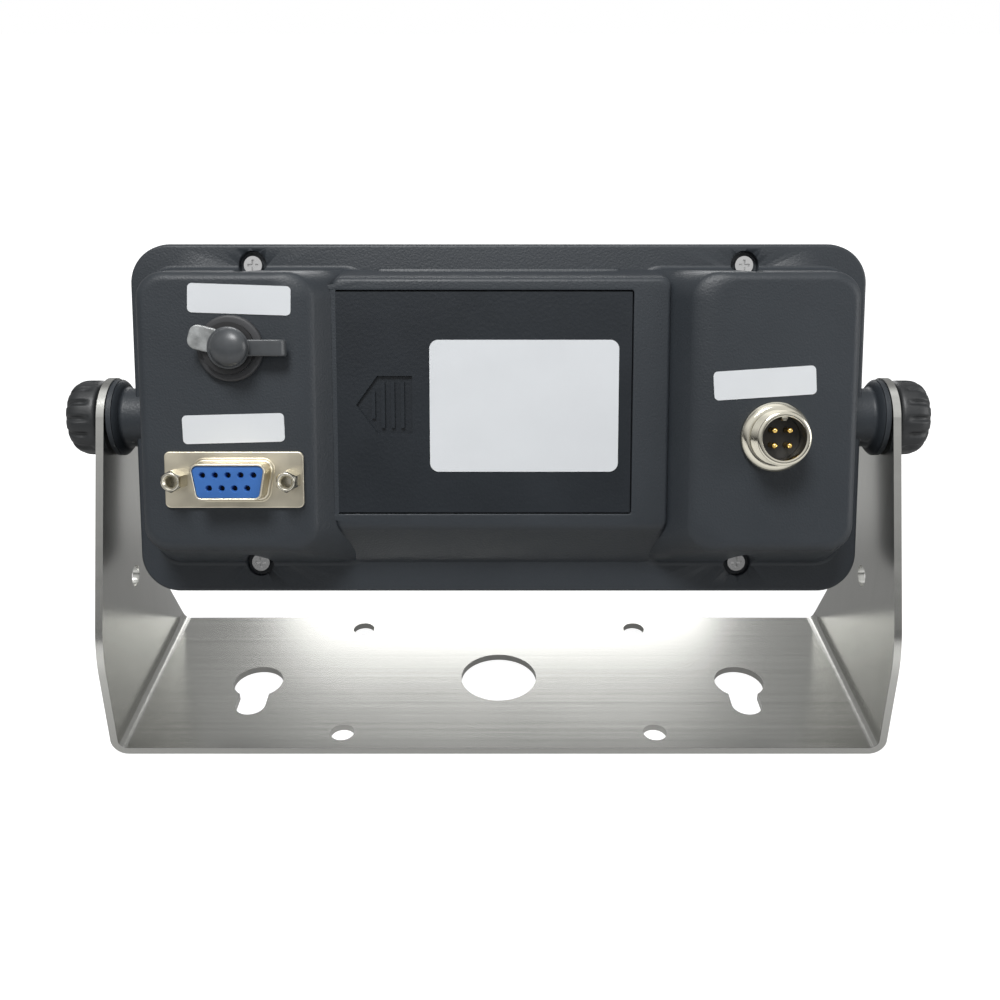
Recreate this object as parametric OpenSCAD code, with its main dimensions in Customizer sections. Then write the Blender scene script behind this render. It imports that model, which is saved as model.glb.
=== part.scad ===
// Bench weighing indicator held in a stainless U bracket.
// The bracket's base lies on the floor and the case's rear faces +Y.
// Case pieces are drawn upright about the hinge axis and then tilted into place.

/* [Case] */
// Width of the case over the front shell
case_w = 172.6; // [168:0.2:180]
// Height of the case over the front shell
case_h = 82.8; // [82:0.1:84]
// Corner radius of the case
case_r = 9; // [8:0.5:11]
// Depth of the front shell, from the parting plane to the front face
front_depth = 22; // [21:0.5:26]
// Thickness of the rear rim
rim_t = 3; // [2.6:0.1:3.6]
// Height of the pods over the rim
pod_rise = 16; // [15:0.5:18]
// Height of the centre block over the rim
block_rise = 10; // [9.6:0.1:10.6]
// Wall thickness of the shells
wall = 2.2; // [1.8:0.1:2.5]
// Distance of the parting plane behind the hinge axis
part_y = 2; // [1.5:0.1:2.5]
// Distance of the case's middle under the hinge axis
case_drop = 0.7; // [0:0.1:1]
// Tilt of the case in the bracket, degrees
case_tilt = 20.7; // [0:0.1:45]

/* [Pods and block] */
// Distance of the centre block's edge from the middle, on the ports' side
block_edge_x = 37.4; // [37:0.1:38]
// Half width of the case over the pods' rear faces
pod_half_w = 79.4; // [78.5:0.1:80]
// Distance of the ports' pod's inner edge from the middle
pod_inner_x = 41.8; // [41.2:0.1:42.6]
// How much farther out the other pod's inner edge lies
pod_shift = 2; // [0:0.1:2.4]
// Height of the pods' rear faces over the hinge axis
pod_top_z = 32.2; // [31.8:0.1:32.6]
// Depth of the pods' rear faces under the hinge axis
pod_low_z = 29; // [28.6:0.1:30]
// Height of the block's rear face over the hinge axis
block_top_z = 31.5; // [31.2:0.1:32]
// Depth of the block's rear face under the hinge axis
block_low_z = 24.6; // [24.2:0.1:25.4]
// Height of the pods' and the block's foot over and under the hinge axis
foot_half_h = 34.5; // [34:0.1:35]
// Corner radius of the pods
pod_r = 6; // [5:0.5:7]
// Rounding of the pods' rear edges
pod_edge_r = 2; // [1.5:0.1:2.5]

/* [Bracket] */
// Sheet thickness of the bracket
sheet_t = 1.8; // [1.5:0.1:2.5]
// Clear width between the arms
arm_gap = 189; // [188:0.5:196]
// How far each arm leans in at the hinge
arm_toe = 2.7; // [1.8:0.1:2.8]
// Depth of the base
base_d = 58; // [52:1:66]
// Height of the hinge axis over the floor
hinge_z = 78; // [70:1:90]
// Distance of the hinge axis in front of the base's middle
hinge_setback = 1.5; // [0:0.1:3]
// Radius of the arms' round ends
arm_end_r = 9.5; // [9:0.1:11]
// Radius of the arms' rear shoulder
arm_shoulder_r = 30; // [26:1:34]
// Inner radius of the bends
bend_r = 2.2; // [1.5:0.1:2.5]
// Diameter of the middle hole
middle_hole_d = 20.5; // [16:0.5:24]
// Diameter of the four fixing holes
fixing_d = 6; // [5:0.1:7]
// Pitch of the fixing holes across
fixing_pitch_x = 79.5; // [76:0.5:84]
// Pitch of the fixing holes front to back
fixing_pitch_y = 46; // [42:0.5:48]
// Diameter of a keyhole's round end
keyhole_d = 13.2; // [12:0.1:14]
// Width of a keyhole's slot
keyhole_slot_w = 7.8; // [6:0.1:8.4]
// Distance from a keyhole's round end to its slot end
keyhole_run = 10; // [9:0.1:11]
// Pitch of the keyholes
keyhole_pitch = 131; // [126:1:138]
// Diameter of the hole low in each arm
arm_hole_d = 5.5; // [4.5:0.1:6.5]
// Height of that hole over the floor
arm_hole_z = 35.7; // [32:0.1:40]
// Height where an arm's front edge starts over the floor
arm_foot_z = 3.6; // [3.4:0.1:8]
// Height of the middle of the arms' rear shoulder
arm_shoulder_z = 24; // [20:0.5:26]
// Depth of the corner in the arms' front edge, from the base's middle
arm_knee_y = 20.8; // [18:0.2:24]
// Height of that corner over the floor
arm_knee_z = 17; // [14:0.5:20]

/* [Clamp knobs] */
// Diameter of the clamp stud's thread
stud_d = 5; // [4.5:0.1:5.5]
// Clearance round the stud in the arm and the insert
stud_clear = 0.09; // [0.05:0.01:0.1]
// Diameter of the hinge bosses
boss_d = 14; // [13:0.5:15]
// Length of the hinge bosses
boss_l = 3.9; // [3.5:0.1:4]
// Diameter of the friction washers and of the bosses' rims
friction_d = 18.2; // [16:0.2:18.4]
// Diameter of the brass inserts
insert_d = 7.4; // [6.8:0.1:8]
// Diameter of the knobs
knob_d = 17.8; // [16:0.2:20]
// Length of a knob's grip
knob_l = 8; // [7:0.1:9]
// Rounding of a knob's outer edge
knob_edge_r = 3; // [2.5:0.1:3.5]
// Thickness of the clamp washers
washer_t = 1; // [0.8:0.1:1.5]

/* [Battery bay] */
// Width of the battery door
door_w = 66.8; // [66:0.1:67.4]
// Top edge of the door over the hinge axis
door_top_z = 28.5; // [28.2:0.1:28.8]
// Bottom edge of the door under the hinge axis
door_low_z = 21.2; // [21:0.1:21.6]
// Thickness of the door
door_t = 2; // [1.6:0.1:2]
// Gap round the door
door_gap = 0.35; // [0.3:0.05:0.45]
// Travel of the door before it lifts off
door_travel = 5; // [4:0.1:5]
// Diameter of a battery cell
cell_d = 10.5; // [10:0.1:10.6]
// Length of a battery cell with its nub
cell_l = 44.5; // [44:0.1:44.8]

/* [Connectors] */
// Distance of the power and serial ports from the middle
ports_x = 58.5; // [57:0.1:60]
// Depth of the serial connector under the hinge axis
serial_z = 13.1; // [12.5:0.1:13.4]
// Height of the power jack over the hinge axis
jack_z = 15.7; // [15.4:0.1:16]
// Distance of the load-cell connector from the middle
sensor_x = 61.1; // [60:0.1:62]
// Depth of the load-cell connector under the hinge axis
sensor_z = 3.6; // [3.2:0.1:4]
// Width of the serial connector's flange
serial_w = 30.8; // [30.6:0.1:31]
// Height of the serial connector's flange
serial_h = 12.5; // [12.3:0.1:12.7]
// Pitch of the two jack screws
jack_screw_pitch = 25; // [24.8:0.1:25]
// Diameter of the load-cell connector's thread
sensor_thread_d = 12; // [11.8:0.1:12.2]
// Diameter of the power jack's neck
jack_neck_d = 7; // [6.8:0.1:7]
// Diameter of the power jack's bore
jack_bore_d = 5.8; // [5.6:0.1:5.8]

/* [Front] */
// Width of the display window
window_w = 116; // [112:1:120]
// Height of the display window
window_h = 32; // [30:0.5:33]
// Height of the window's middle over the hinge axis
window_z = 13; // [12.6:0.1:13.4]
// Width of a key
key_w = 16; // [14:0.5:18]
// Height of a key
key_h = 9; // [8:0.5:10]
// Pitch of the keys
key_pitch = 22; // [21:0.5:22]
// Depth of the keys' row under the hinge axis
key_z = 21; // [20.5:0.1:21.5]
// Travel of a key
key_travel = 0.9; // [0.6:0.1:1]
// Height of a digit
digit_h = 20; // [18:0.5:21]
// Number of digits
digit_count = 6; // [5:1:6]

/* [Boards] */
// Width of the main board
board_w = 152; // [148:1:154]
// Height of the main board
board_h = 60; // [58:0.5:61]
// Thickness of the main board
board_t = 1.6; // [1.2:0.1:2]
// Distance of the board's rear face in front of the hinge axis
board_y = 8; // [7.6:0.1:8.4]

/* [Hidden] */
$fn = 64;
hull_fn = 32;
tube_fn = 24;
// Overrun of a cut beyond the face that it opens
over = 1;
// Thickness of the slabs that a hull joins
slab = 0.1;
// Seating gap between pieces that touch at rest
seat = 0.05;
// Running gap between turning faces
run_gap = 0.05;
// Fit of a piece in its pocket
fit = 0.15;

// Levels of the case, along Y from the hinge axis
rim_y = part_y + rim_t;
block_y = rim_y + block_rise;
pod_y = rim_y + pod_rise;
face_y = part_y - front_depth;
front_in_y = face_y + wall;
rim_inset = 0.5;
pod_foot_flare = 2;
block_shift = 1.3;
block_far_x = block_edge_x + block_shift;
pod_slope = (pod_inner_x - block_edge_x) / (pod_rise - block_rise);
slope_wall_share = 1.3;
foot_x = pod_half_w + pod_foot_flare;

// Case screws
screw_x = 57.2;
screw_z = 35.05;
screw_lift = 0.45;
screw_head_d = 4.2;
screw_head_h = 1.6;
screw_d = 2.5;
screw_l = 12;
screw_recess_d = 6.4;
screw_recess_depth = 2;
screw_clear = 0.3;
cross_w = 0.6;
cross_depth = 0.7;
post_d = 7.2;

// Gasket between the shells
gasket_w = 1;
gasket_h = 0.9;

// Battery bay
door_inset = 0.6;
door_right_x = block_edge_x - door_inset;
door_left_x = door_right_x - door_w;
bay_ledge = 2.4;
ledge_t = 2;
bay_floor_t = 1.8;
bay_rib = 0.9;
cell_pitch = cell_d + bay_rib;
cell_count = 4;
bay_mid_z = (door_top_z - door_low_z) / 2;
bay_half_h = cell_count * cell_pitch / 2;
contact_t = 0.5;
spring_l = 5;
spring_d = 6;
spring_wire = 0.6;
spring_turns = 4;
spring_taper_share = 0.35;
contact_tail_l = 3;
contact_tail_w = 1.6;
bay_x1 = door_right_x - bay_ledge;
bay_x0 = bay_x1 - cell_l - spring_l - 2 * contact_t - 2 * seat;
cell_gap = 0.3;
bay_floor_y = block_y - door_t - bay_rib - cell_d - cell_gap;
cell_y = bay_floor_y + cell_d / 2 + seat;
nub_d = 3.8;
nub_l = 1;
slot_wall = 1.5;
slot_clear = 0.2;
land_h = 4.4;
land_d = 9;
ridge_w = 56;
ridge_h = 1.6;
ridge_d = 2.6;

// Arrow-shaped grip in the door and its ribs
grip_tip_x = 32.2;
grip_neck_x = 27.4;
grip_back_x = 19.5;
grip_z = 3.3;
grip_h = 13;
grip_depth = 0.8;
rib_x = 21.7;
rib_pitch = 2.2;
rib_t = 0.8;
rib_top_gap = 0.15;
rib_h = 10.4;
rib_count = 4;
last_rib_h = 6.2;

// Labels
label_t = 0.15;
label_r = 1;
port_label_w = 22.5;
port_label_h = 6.3;
rating_w = 42.7;
rating_h = 29.7;
rating_r = 2;
rating_x = -5.8;
rating_z = 3;
power_label_x = 56.5;
power_label_z = 26.3;
power_label_turn = -1.9;
serial_label_z = -1.8;
serial_label_turn = 1.5;
sensor_label_x = -58.6;
sensor_label_z = 8.2;
sensor_label_turn = 3.7;

// Serial connector
flange_t = 0.8;
flange_r = 1.2;
d_top_w = 16.3;
d_h = 7.9;
d_slant = 10;
d_r = 1.6;
corner_steps = 6;
d_rise = 5.8;
d_wall = 0.45;
serial_body_w = 19.2;
serial_body_h = 10.4;
serial_body_l = 9;
socket_pitch = 2.77;
socket_row = 2.84;
socket_d = 1.1;
tail_d = 0.8;
tail_l = 3;
hex_w = 5;
hex_l = 5.5;
hex_thread_d = 2.84;
hex_thread_l = 5;
hex_shank_d = 2.8;
nut_w = 4.8;
nut_t = 2;
ribbon_t = 1;
ribbon_w = 12;

// Load-cell connector
sensor_flange_d = 15.4;
sensor_flange_t = 2;
sensor_bevel = 1.2;
sensor_rise = 8;
sensor_bore_d = 9.4;
sensor_floor = 3;
sensor_body_l = 13;
sensor_nut_w = 15;
sensor_nut_t = 2.4;
sensor_pin_d = 1.3;
sensor_pin_ring = 4.6;
sensor_pin_rise = 3.6;
sensor_cup_l = 3;
rib_w = 1.4;
rib_l = 1;
lead_d = 1.2;

// Power jack
jack_rise = 4;
jack_body_d = 9.6;
jack_body_l = 11;
jack_nut_d = 11.2;
jack_nut_t = 1.4;
jack_depth = 9.5;
jack_pin_d = 2.1;
jack_pin_gap = 1;
cap_ring_d = 14.4;
cap_ring_t = 1.6;
cap_wall = 0.75;
cap_gap = 0.3;
cap_dome_r = 4.2;
cap_rise = 7.5;
strap_reach = 10.8;
strap_rise = 2.3;
strap_loop_r = 2;
strap_t = 1.05;
strap_band = 2.4;
strap_side = 0.7;
strap_gap = 0.3;
tab_w = 5.5;
tab_reach = 9.7;
tab_turn = 12;
jack_leads_pitch = 4;

// Bracket
base_t = sheet_t;
arm_in = arm_gap / 2;
arm_out = arm_in + sheet_t;
arm_hole_y = 2.3;
keyhole_y = 2.1;
hinge_y = -hinge_setback;
hinge_in = arm_in - arm_toe;
hinge_out = hinge_in + sheet_t;
arm_slope = arm_toe / (hinge_z - bend_r - sheet_t);
arm_hole_x = (arm_in + arm_out) / 2 - arm_slope * (arm_hole_z - bend_r - sheet_t);

// Hinge and knobs
side_x = case_w / 2;
boss_end = side_x + boss_l;
boss_root = 0.3;
boss_flare = 1.2;
boss_cone = 2;
stud_end_gap = 0.7;
friction_end = hinge_in - arm_slope * friction_d / 2 - run_gap;
washer_d = 12;
washer_x = hinge_out + arm_slope * washer_d / 2 + run_gap;
grip_x = hinge_out + arm_slope * knob_d / 2 + 2 * run_gap;
recess_gap = 0.6;
recess_d = washer_d + 2 * recess_gap;
recess_x = washer_x + washer_t + run_gap;
flute_count = 12;
flute_d = 3;
flute_depth = 0.6;
stud_in_knob = 5.4;

// Front
overlay_t = 0.5;
overlay_margin = 5;
overlay_r = 5;
lens_t = 1.2;
lens_ledge = 2.5;
lens_r = 2;
key_count = 6;
key_r = 1.5;
key_gap = 0.3;
key_rise = 1;
key_flange = 1;
key_flange_t = 1;
key_stem_w = 3;
mat_t = 1.2;
dome_d = 8;
dome_top_d = 5;
dome_h = 1.8;
mat_margin = 2;
board_front_y = -board_y - board_t;
display_t = 6;
display_margin = 1;
segment_t = 0.3;
segment_w = 2.4;
segment_gap = 0.4;
digit_w = 11;
digit_pitch = 18;
digit_slant = 6;
dot_d = 2.2;
standoff_d = 6;
board_hole_x = board_w / 2 - standoff_d;
board_hole_z = board_h / 2 - standoff_d + over;
board_hole_d = 3;
board_screw_l = 7;
chip_t = 1.8;
// Each chip's place as shares of half the board, then its width and height
chips = [[-0.42, 0.62, 14, 14], [-0.05, 0.7, 10, 8], [0.18, 0.66, 18, 7], [-0.1, -0.72, 12, 9]];
header_h = 6;
header_d = 5;
buzzer_d = 12;
buzzer_h = 5.5;
buzzer_x_share = 0.6;
buzzer_z_share = 0.56;
cross_reach_share = 0.6;
corner_share = 6;

// Shapes that several pieces share

module rounded(w, h, r) {
    square([w - 2 * r, h], center = true);
    square([w, h - 2 * r], center = true);
    for (sx = [-1, 1], sz = [-1, 1])
        translate([sx * (w / 2 - r), sz * (h / 2 - r)]) circle(r);
}

// A plate that stands on its y0 level and is t thick toward the rear
module plate_y(y0, t) {
    translate([0, y0 + t, 0]) rotate([90, 0, 0]) linear_extrude(t) children();
}

// A round bar from x0, l long along +X
module bar_x(x0, l, d) {
    translate([x0, 0, 0]) rotate([0, 90, 0]) cylinder(d = d, h = l);
}

// A round bar from y0, l long along +Y
module bar_y(y0, l, d) {
    translate([0, y0, 0]) rotate([-90, 0, 0]) cylinder(d = d, h = l);
}

module hex_y(y0, l, flats) {
    translate([0, y0, 0]) rotate([-90, 0, 0]) cylinder(d = flats / cos(30), h = l, $fn = 6);
}

// A ring between two diameters, along +Y
module ring_y(y0, l, outer, inner) {
    difference() {
        bar_y(y0, l, outer);
        bar_y(y0 - over, l + 2 * over, inner);
    }
}

// Half section of a round knob or cap, its far edge rounded
module domed(r, h, edge) {
    square([r, h - edge]);
    square([r - edge, h]);
    translate([r - edge, h - edge]) intersection() {
        circle(edge);
        square(edge);
    }
}

// A rounded outline of the case, round the case's middle
module case_outline(w, h, r) {
    translate([0, -case_drop]) rounded(w, h, r);
}

// Moves a case piece from the hinge axis to its tilted place in the bracket
module in_case() {
    translate([0, hinge_y, hinge_z]) rotate([case_tilt, 0, 0]) children();
}

module both_sides() {
    children();
    mirror([1, 0, 0]) children();
}

// A thin slab of a hull, given by its edges
module slab_at(x0, x1, z0, z1, y, r) {
    translate([(x0 + x1) / 2, y, (z0 + z1) / 2]) rotate([90, 0, 0])
        linear_extrude(slab) rounded(x1 - x0, z1 - z0, r, $fn = hull_fn);
}

// Bracket

// Point where the common tangent touches a circle at c of radius r
function touch(c, r, from, big) =
    let (d = c - from, a = atan2(d[1], d[0]), lean = asin((big - r) / norm(d)))
    c + r * [cos(a - 90 + lean), sin(a - 90 + lean)];

module arm_profile() {
    end = [hinge_y, hinge_z];
    shoulder = [base_d / 2 - arm_shoulder_r, arm_shoulder_z];
    foot = [-base_d / 2, arm_foot_z];
    knee = [-arm_knee_y, arm_knee_z];
    d = knee - end;
    a = atan2(d[1], d[0]) - acos(arm_end_r / norm(d));
    end_rear = touch(end, arm_end_r, shoulder, arm_shoulder_r);
    lean = atan2(end_rear[1] - end[1], end_rear[0] - end[0]);
    shoulder_rear = shoulder + arm_shoulder_r * [cos(lean), sin(lean)];
    polygon([[-base_d / 2, 0], [base_d / 2, 0], [base_d / 2, shoulder[1]], shoulder_rear,
        end_rear, end, end + arm_end_r * [cos(a), sin(a)], knee, foot]);
    translate(end) circle(arm_end_r);
    intersection() {
        translate(shoulder) circle(arm_shoulder_r);
        translate([0, 0]) square([base_d / 2, hinge_z]);
    }
}

module lower_half(r) {
    intersection() {
        circle(r);
        translate([-r, -r]) square([2 * r, r]);
    }
}

// The bent sheet's section, in X and Z, its arms leaning in
module sheet_section() {
    r_out = bend_r + sheet_t;
    top = hinge_z + 2 * arm_end_r;
    lean = arm_slope * (top - r_out);
    difference() {
        union() {
            polygon([[-arm_out, r_out], [arm_out, r_out], [arm_out - lean, top], [lean - arm_out, top]]);
            translate([r_out - arm_out, 0]) square([2 * (arm_out - r_out), r_out]);
            for (s = [-1, 1]) translate([s * (arm_out - r_out), r_out]) lower_half(r_out);
        }
        polygon([[-arm_in, r_out], [arm_in, r_out], [arm_in - lean, top], [arm_in - lean, top + over],
            [lean - arm_in, top + over], [lean - arm_in, top]]);
        translate([bend_r - arm_in, sheet_t]) square([2 * (arm_in - bend_r), r_out]);
        for (s = [-1, 1]) translate([s * (arm_in - bend_r), r_out]) lower_half(bend_r);
    }
}

module keyhole() {
    cylinder(d = keyhole_d, h = sheet_t + 2 * over);
    translate([-keyhole_slot_w / 2, 0, 0]) cube([keyhole_slot_w, keyhole_run, sheet_t + 2 * over]);
    translate([0, keyhole_run, 0]) cylinder(d = keyhole_slot_w, h = sheet_t + 2 * over);
}

module bracket() {
    color("silver") difference() {
        intersection() {
            translate([0, base_d / 2, 0]) rotate([90, 0, 0]) linear_extrude(base_d) sheet_section();
            translate([-arm_out - over, 0, 0]) rotate([90, 0, 90])
                linear_extrude(2 * (arm_out + over)) arm_profile();
        }
        translate([0, 0, -over]) cylinder(d = middle_hole_d, h = sheet_t + 2 * over);
        for (sx = [-1, 1], sy = [-1, 1])
            translate([sx * fixing_pitch_x / 2, sy * fixing_pitch_y / 2, -over])
                cylinder(d = fixing_d, h = sheet_t + 2 * over);
        for (sx = [-1, 1]) translate([sx * keyhole_pitch / 2, keyhole_y, -over]) keyhole();
        translate([0, hinge_y, hinge_z])
            bar_x(-arm_out - over, 2 * (arm_out + over), stud_d + 2 * stud_clear);
        for (s = [-1, 1]) translate([s * arm_hole_x, arm_hole_y, arm_hole_z])
            rotate([0, -s * atan(arm_slope), 0]) bar_x(-2 * sheet_t, 4 * sheet_t, arm_hole_d);
    }
}

// Rear shell

function screw_at(s) = s * screw_z + screw_lift;

function end_cell_z(s) = bay_mid_z + s * cell_pitch * (cell_count - 1) / 2;

function pod_in_x(y) = pod_inner_x - (pod_y - y) * pod_slope;

module pod_outer(shift) {
    hull() {
        slab_at(shift + pod_in_x(rim_y), foot_x, -foot_half_h, foot_half_h, rim_y, pod_r);
        slab_at(shift + pod_inner_x, pod_half_w, -pod_low_z, pod_top_z, pod_y - pod_edge_r, pod_r);
        slab_at(shift + pod_inner_x + pod_edge_r / 2, pod_half_w - pod_edge_r / 2,
            pod_edge_r - pod_low_z, pod_top_z - pod_edge_r / 2, pod_y, pod_r - pod_edge_r / 2);
    }
}

module pod_inner(shift) {
    slope_wall = shift + slope_wall_share * wall;
    hull() {
        slab_at(pod_in_x(part_y - over) + slope_wall, foot_x - wall, wall - foot_half_h,
            foot_half_h - wall, part_y - over, pod_r - wall / 2);
        slab_at(pod_inner_x + slope_wall, pod_half_w - wall, wall - pod_low_z,
            pod_top_z - wall, pod_y - wall, pod_r - wall / 2);
    }
}

module block_outer() {
    hull() {
        slab_at(-block_far_x, block_edge_x, -foot_half_h, foot_half_h, rim_y, pod_edge_r);
        slab_at(-block_far_x, block_edge_x, -block_low_z, block_top_z, block_y, pod_edge_r);
    }
}

module block_inner() {
    hull() {
        slab_at(wall - block_far_x, block_edge_x - wall, 2 * wall - foot_half_h,
            foot_half_h - wall, part_y - over, pod_edge_r);
        slab_at(wall - block_far_x, block_edge_x - wall, 2 * wall - block_low_z,
            block_top_z - wall, block_y - wall, pod_edge_r);
    }
}

// The frame under the door, with the pocket that the door slides into
module door_frame() {
    x_end = door_right_x + door_travel + slot_wall + slot_clear;
    roof_y = block_y + slot_wall;
    low = -door_low_z - door_gap - slot_wall;
    translate([0, 0, low])
        linear_extrude(door_top_z + door_low_z + 2 * (door_gap + slot_wall))
            polygon([[door_left_x - door_gap - slot_wall, block_y - door_t - ledge_t],
                [x_end, block_y - door_t - ledge_t], [x_end, roof_y],
                [pod_in_x(roof_y) + wall / 2, roof_y], [pod_in_x(block_y) + wall / 2, block_y - slab],
                [door_left_x - door_gap - slot_wall, block_y - slab]]);
}

module door_recess() {
    top = door_top_z + door_gap;
    low = door_low_z + door_gap;
    x0 = door_left_x - door_gap;
    x1 = door_right_x + door_travel + slot_clear;
    translate([x0, block_y - door_t - slot_clear / 2, -low])
        cube([x1 - x0, door_t + slot_clear, top + low]);
    translate([x0, block_y - slot_clear, -low])
        cube([block_edge_x - x0, slot_clear + over, top + low]);
}

module bay_box(extra, y0, y1) {
    translate([bay_x0 - extra, y0, bay_mid_z - bay_half_h - extra])
        cube([bay_x1 - bay_x0 + 2 * extra, y1 - y0, 2 * (bay_half_h + extra)]);
}

// Solid behind a case screw's recess, inside the pod's wall
module screw_land(sz) {
    z0 = sz > 0 ? foot_half_h - wall / 2 - land_h : -pod_low_z - wall - slab;
    translate([screw_x - post_d / 2, part_y, z0]) cube([post_d, land_d, land_h]);
}

module port_cuts() {
    translate([ports_x, 0, -serial_z]) {
        translate([-serial_body_w / 2 - fit, pod_y - wall - over, -serial_body_h / 2 - fit])
            cube([serial_body_w + 2 * fit, wall + 2 * over, serial_body_h + 2 * fit]);
        for (s = [-1, 1]) translate([s * jack_screw_pitch / 2, 0, 0])
            bar_y(pod_y - wall - over, wall + 2 * over, hex_shank_d + 2 * fit);
        for (s = [-1, 1]) translate([s * jack_screw_pitch / 2, 0, 0])
            bar_y(pod_y - wall - nut_t - fit, nut_t + fit + seat, nut_w / cos(30) + 2 * fit);
    }
    translate([ports_x, 0, jack_z])
        bar_y(pod_y - wall - over, wall + 2 * over, jack_neck_d + 2 * fit);
    translate([-sensor_x, 0, -sensor_z])
        bar_y(pod_y - wall - over, wall + 2 * over, sensor_thread_d + 2 * fit);
}

module tab_ridge() {
    translate([-ridge_w / 2, rim_y - slab, foot_half_h - ridge_h])
        cube([ridge_w, ridge_d, ridge_h]);
}

module rear_shell() {
    rim_w = case_w - 2 * rim_inset;
    rim_h = case_h - 2 * rim_inset;
    color([0.22, 0.24, 0.26]) in_case() difference() {
        union() {
            difference() {
                union() {
                    plate_y(part_y, rim_t) case_outline(rim_w, rim_h, case_r);
                    pod_outer(0);
                    mirror([1, 0, 0]) pod_outer(pod_shift);
                    block_outer();
                    tab_ridge();
                }
                pod_inner(0);
                mirror([1, 0, 0]) pod_inner(pod_shift);
                block_inner();
            }
            door_frame();
            bay_box(slot_wall, bay_floor_y - bay_floor_t, block_y - door_t);
            both_sides() screw_land(1);
            both_sides() screw_land(-1);
        }
        bay_box(0, bay_floor_y, block_y);
        door_recess();
        port_cuts();
        for (sx = [-1, 1], sz = [-1, 1]) translate([sx * screw_x, 0, screw_at(sz)]) {
            bar_y(rim_y - screw_recess_depth, pod_rise, screw_recess_d);
            bar_y(part_y - over, rim_t + 2 * over, screw_d + 2 * screw_clear);
        }
        for (s = [-1, 1])
            translate([bay_x0 - slab, bay_floor_y - bay_floor_t - over,
                end_cell_z(s) - contact_tail_w / 2 - fit])
                cube([contact_t + slab + fit, bay_floor_t + 2 * over, contact_tail_w + 2 * fit]);
    }
}

// Front shell

module front_screw_posts() {
    for (sx = [-1, 1], sz = [-1, 1]) translate([sx * screw_x, 0, screw_at(sz)])
        bar_y(front_in_y - seat, part_y - front_in_y, post_d);
}

module standoffs(d, y0, l) {
    for (sx = [-1, 1], sz = [-1, 1]) translate([sx * board_hole_x, 0, sz * board_hole_z])
        bar_y(y0, l, d);
}

module front_body() {
    edge = case_r / corner_share;
    hull() {
        plate_y(part_y - slab, slab) case_outline(case_w, case_h, case_r, $fn = hull_fn);
        plate_y(face_y + edge, slab) case_outline(case_w, case_h, case_r, $fn = hull_fn);
        plate_y(face_y, slab) case_outline(case_w - 2 * edge, case_h - 2 * edge, case_r - edge,
            $fn = hull_fn);
    }
}

module hinge_bosses() {
    both_sides() {
        bar_x(side_x - boss_root, boss_l + boss_root, boss_d);
        translate([boss_end - boss_cone, 0, 0]) rotate([0, 90, 0])
            cylinder(d1 = boss_d, d2 = friction_d - run_gap, h = boss_cone);
        translate([side_x - boss_root, 0, 0]) rotate([0, 90, 0])
            cylinder(d1 = boss_d + 2 * boss_flare, d2 = boss_d, h = boss_flare + boss_root);
    }
}

module front_shell() {
    color([0.2, 0.22, 0.24]) in_case() difference() {
        union() {
            difference() {
                front_body();
                plate_y(front_in_y, front_depth)
                    case_outline(case_w - 2 * wall, case_h - 2 * wall, case_r - wall);
            }
            intersection() {
                front_screw_posts();
                plate_y(face_y, front_depth) case_outline(case_w - wall, case_h - wall, case_r - wall / 2);
            }
            standoffs(standoff_d, front_in_y - seat, board_front_y - front_in_y + seat);
            hinge_bosses();
        }
        plate_y(part_y - gasket_h, gasket_h + over) gasket_outline(fit / 2);
        both_sides() bar_x(side_x + boss_root, boss_l, insert_d);
        plate_y(face_y - over, over + overlay_t) overlay_outline(fit);
        translate([0, 0, window_z]) {
            plate_y(face_y - over, over + overlay_t + lens_t)
                rounded(window_w + 2 * fit, window_h + 2 * fit, lens_r);
            plate_y(face_y - over, wall + 2 * over)
                rounded(window_w - 2 * lens_ledge, window_h - 2 * lens_ledge, lens_r);
        }
        for (i = [1:key_count]) translate([key_x(i), 0, -key_z])
            plate_y(face_y - over, wall + 2 * over)
                rounded(key_w + 2 * key_gap, key_h + 2 * key_gap, key_r + key_gap);
        for (sx = [-1, 1], sz = [-1, 1]) translate([sx * screw_x, 0, screw_at(sz)])
            bar_y(part_y - screw_l, screw_l + over, screw_d + fit);
        standoffs(screw_d + fit, board_front_y - board_screw_l, board_screw_l + over);
    }
}

module gasket_outline(extra) {
    outer = wall / 2 - gasket_w / 2 - extra;
    inner = wall / 2 + gasket_w / 2 + extra;
    difference() {
        case_outline(case_w - 2 * outer, case_h - 2 * outer, case_r - outer);
        case_outline(case_w - 2 * inner, case_h - 2 * inner, case_r - inner);
    }
}

module case_gasket() {
    color([0.1, 0.1, 0.1]) in_case()
        plate_y(part_y - gasket_h + seat, gasket_h - 2 * seat) gasket_outline(0);
}

// Pan head with a cross recess, its thread toward the front
module cross_screw(y, l) {
    reach = screw_head_d * cross_reach_share;
    difference() {
        union() {
            bar_y(y, screw_head_h, screw_head_d);
            bar_y(y - l, l + seat, screw_d - fit);
        }
        for (a = [0, 90]) rotate([0, a, 0])
            translate([-reach / 2, y + screw_head_h - cross_depth, -cross_w / 2])
                cube([reach, cross_depth + over, cross_w]);
    }
}

module case_screws() {
    color("gainsboro") in_case()
        for (sx = [-1, 1], sz = [-1, 1]) translate([sx * screw_x, 0, screw_at(sz)])
            cross_screw(rim_y - screw_recess_depth + seat, screw_l - 2 * over);
}

// Hinge hardware

module hinge_inserts() {
    color("gold") in_case() both_sides() difference() {
        bar_x(side_x + boss_root + seat, boss_l - boss_root - 2 * seat, insert_d - fit);
        bar_x(side_x, boss_l + over, stud_d + 2 * stud_clear);
    }
}

module hinge_friction_washers() {
    color([0.12, 0.12, 0.12]) in_case() both_sides() difference() {
        bar_x(boss_end + run_gap, friction_end - boss_end - run_gap, friction_d);
        bar_x(boss_end - over, arm_in, stud_d + 2 * stud_clear);
    }
}

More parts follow.
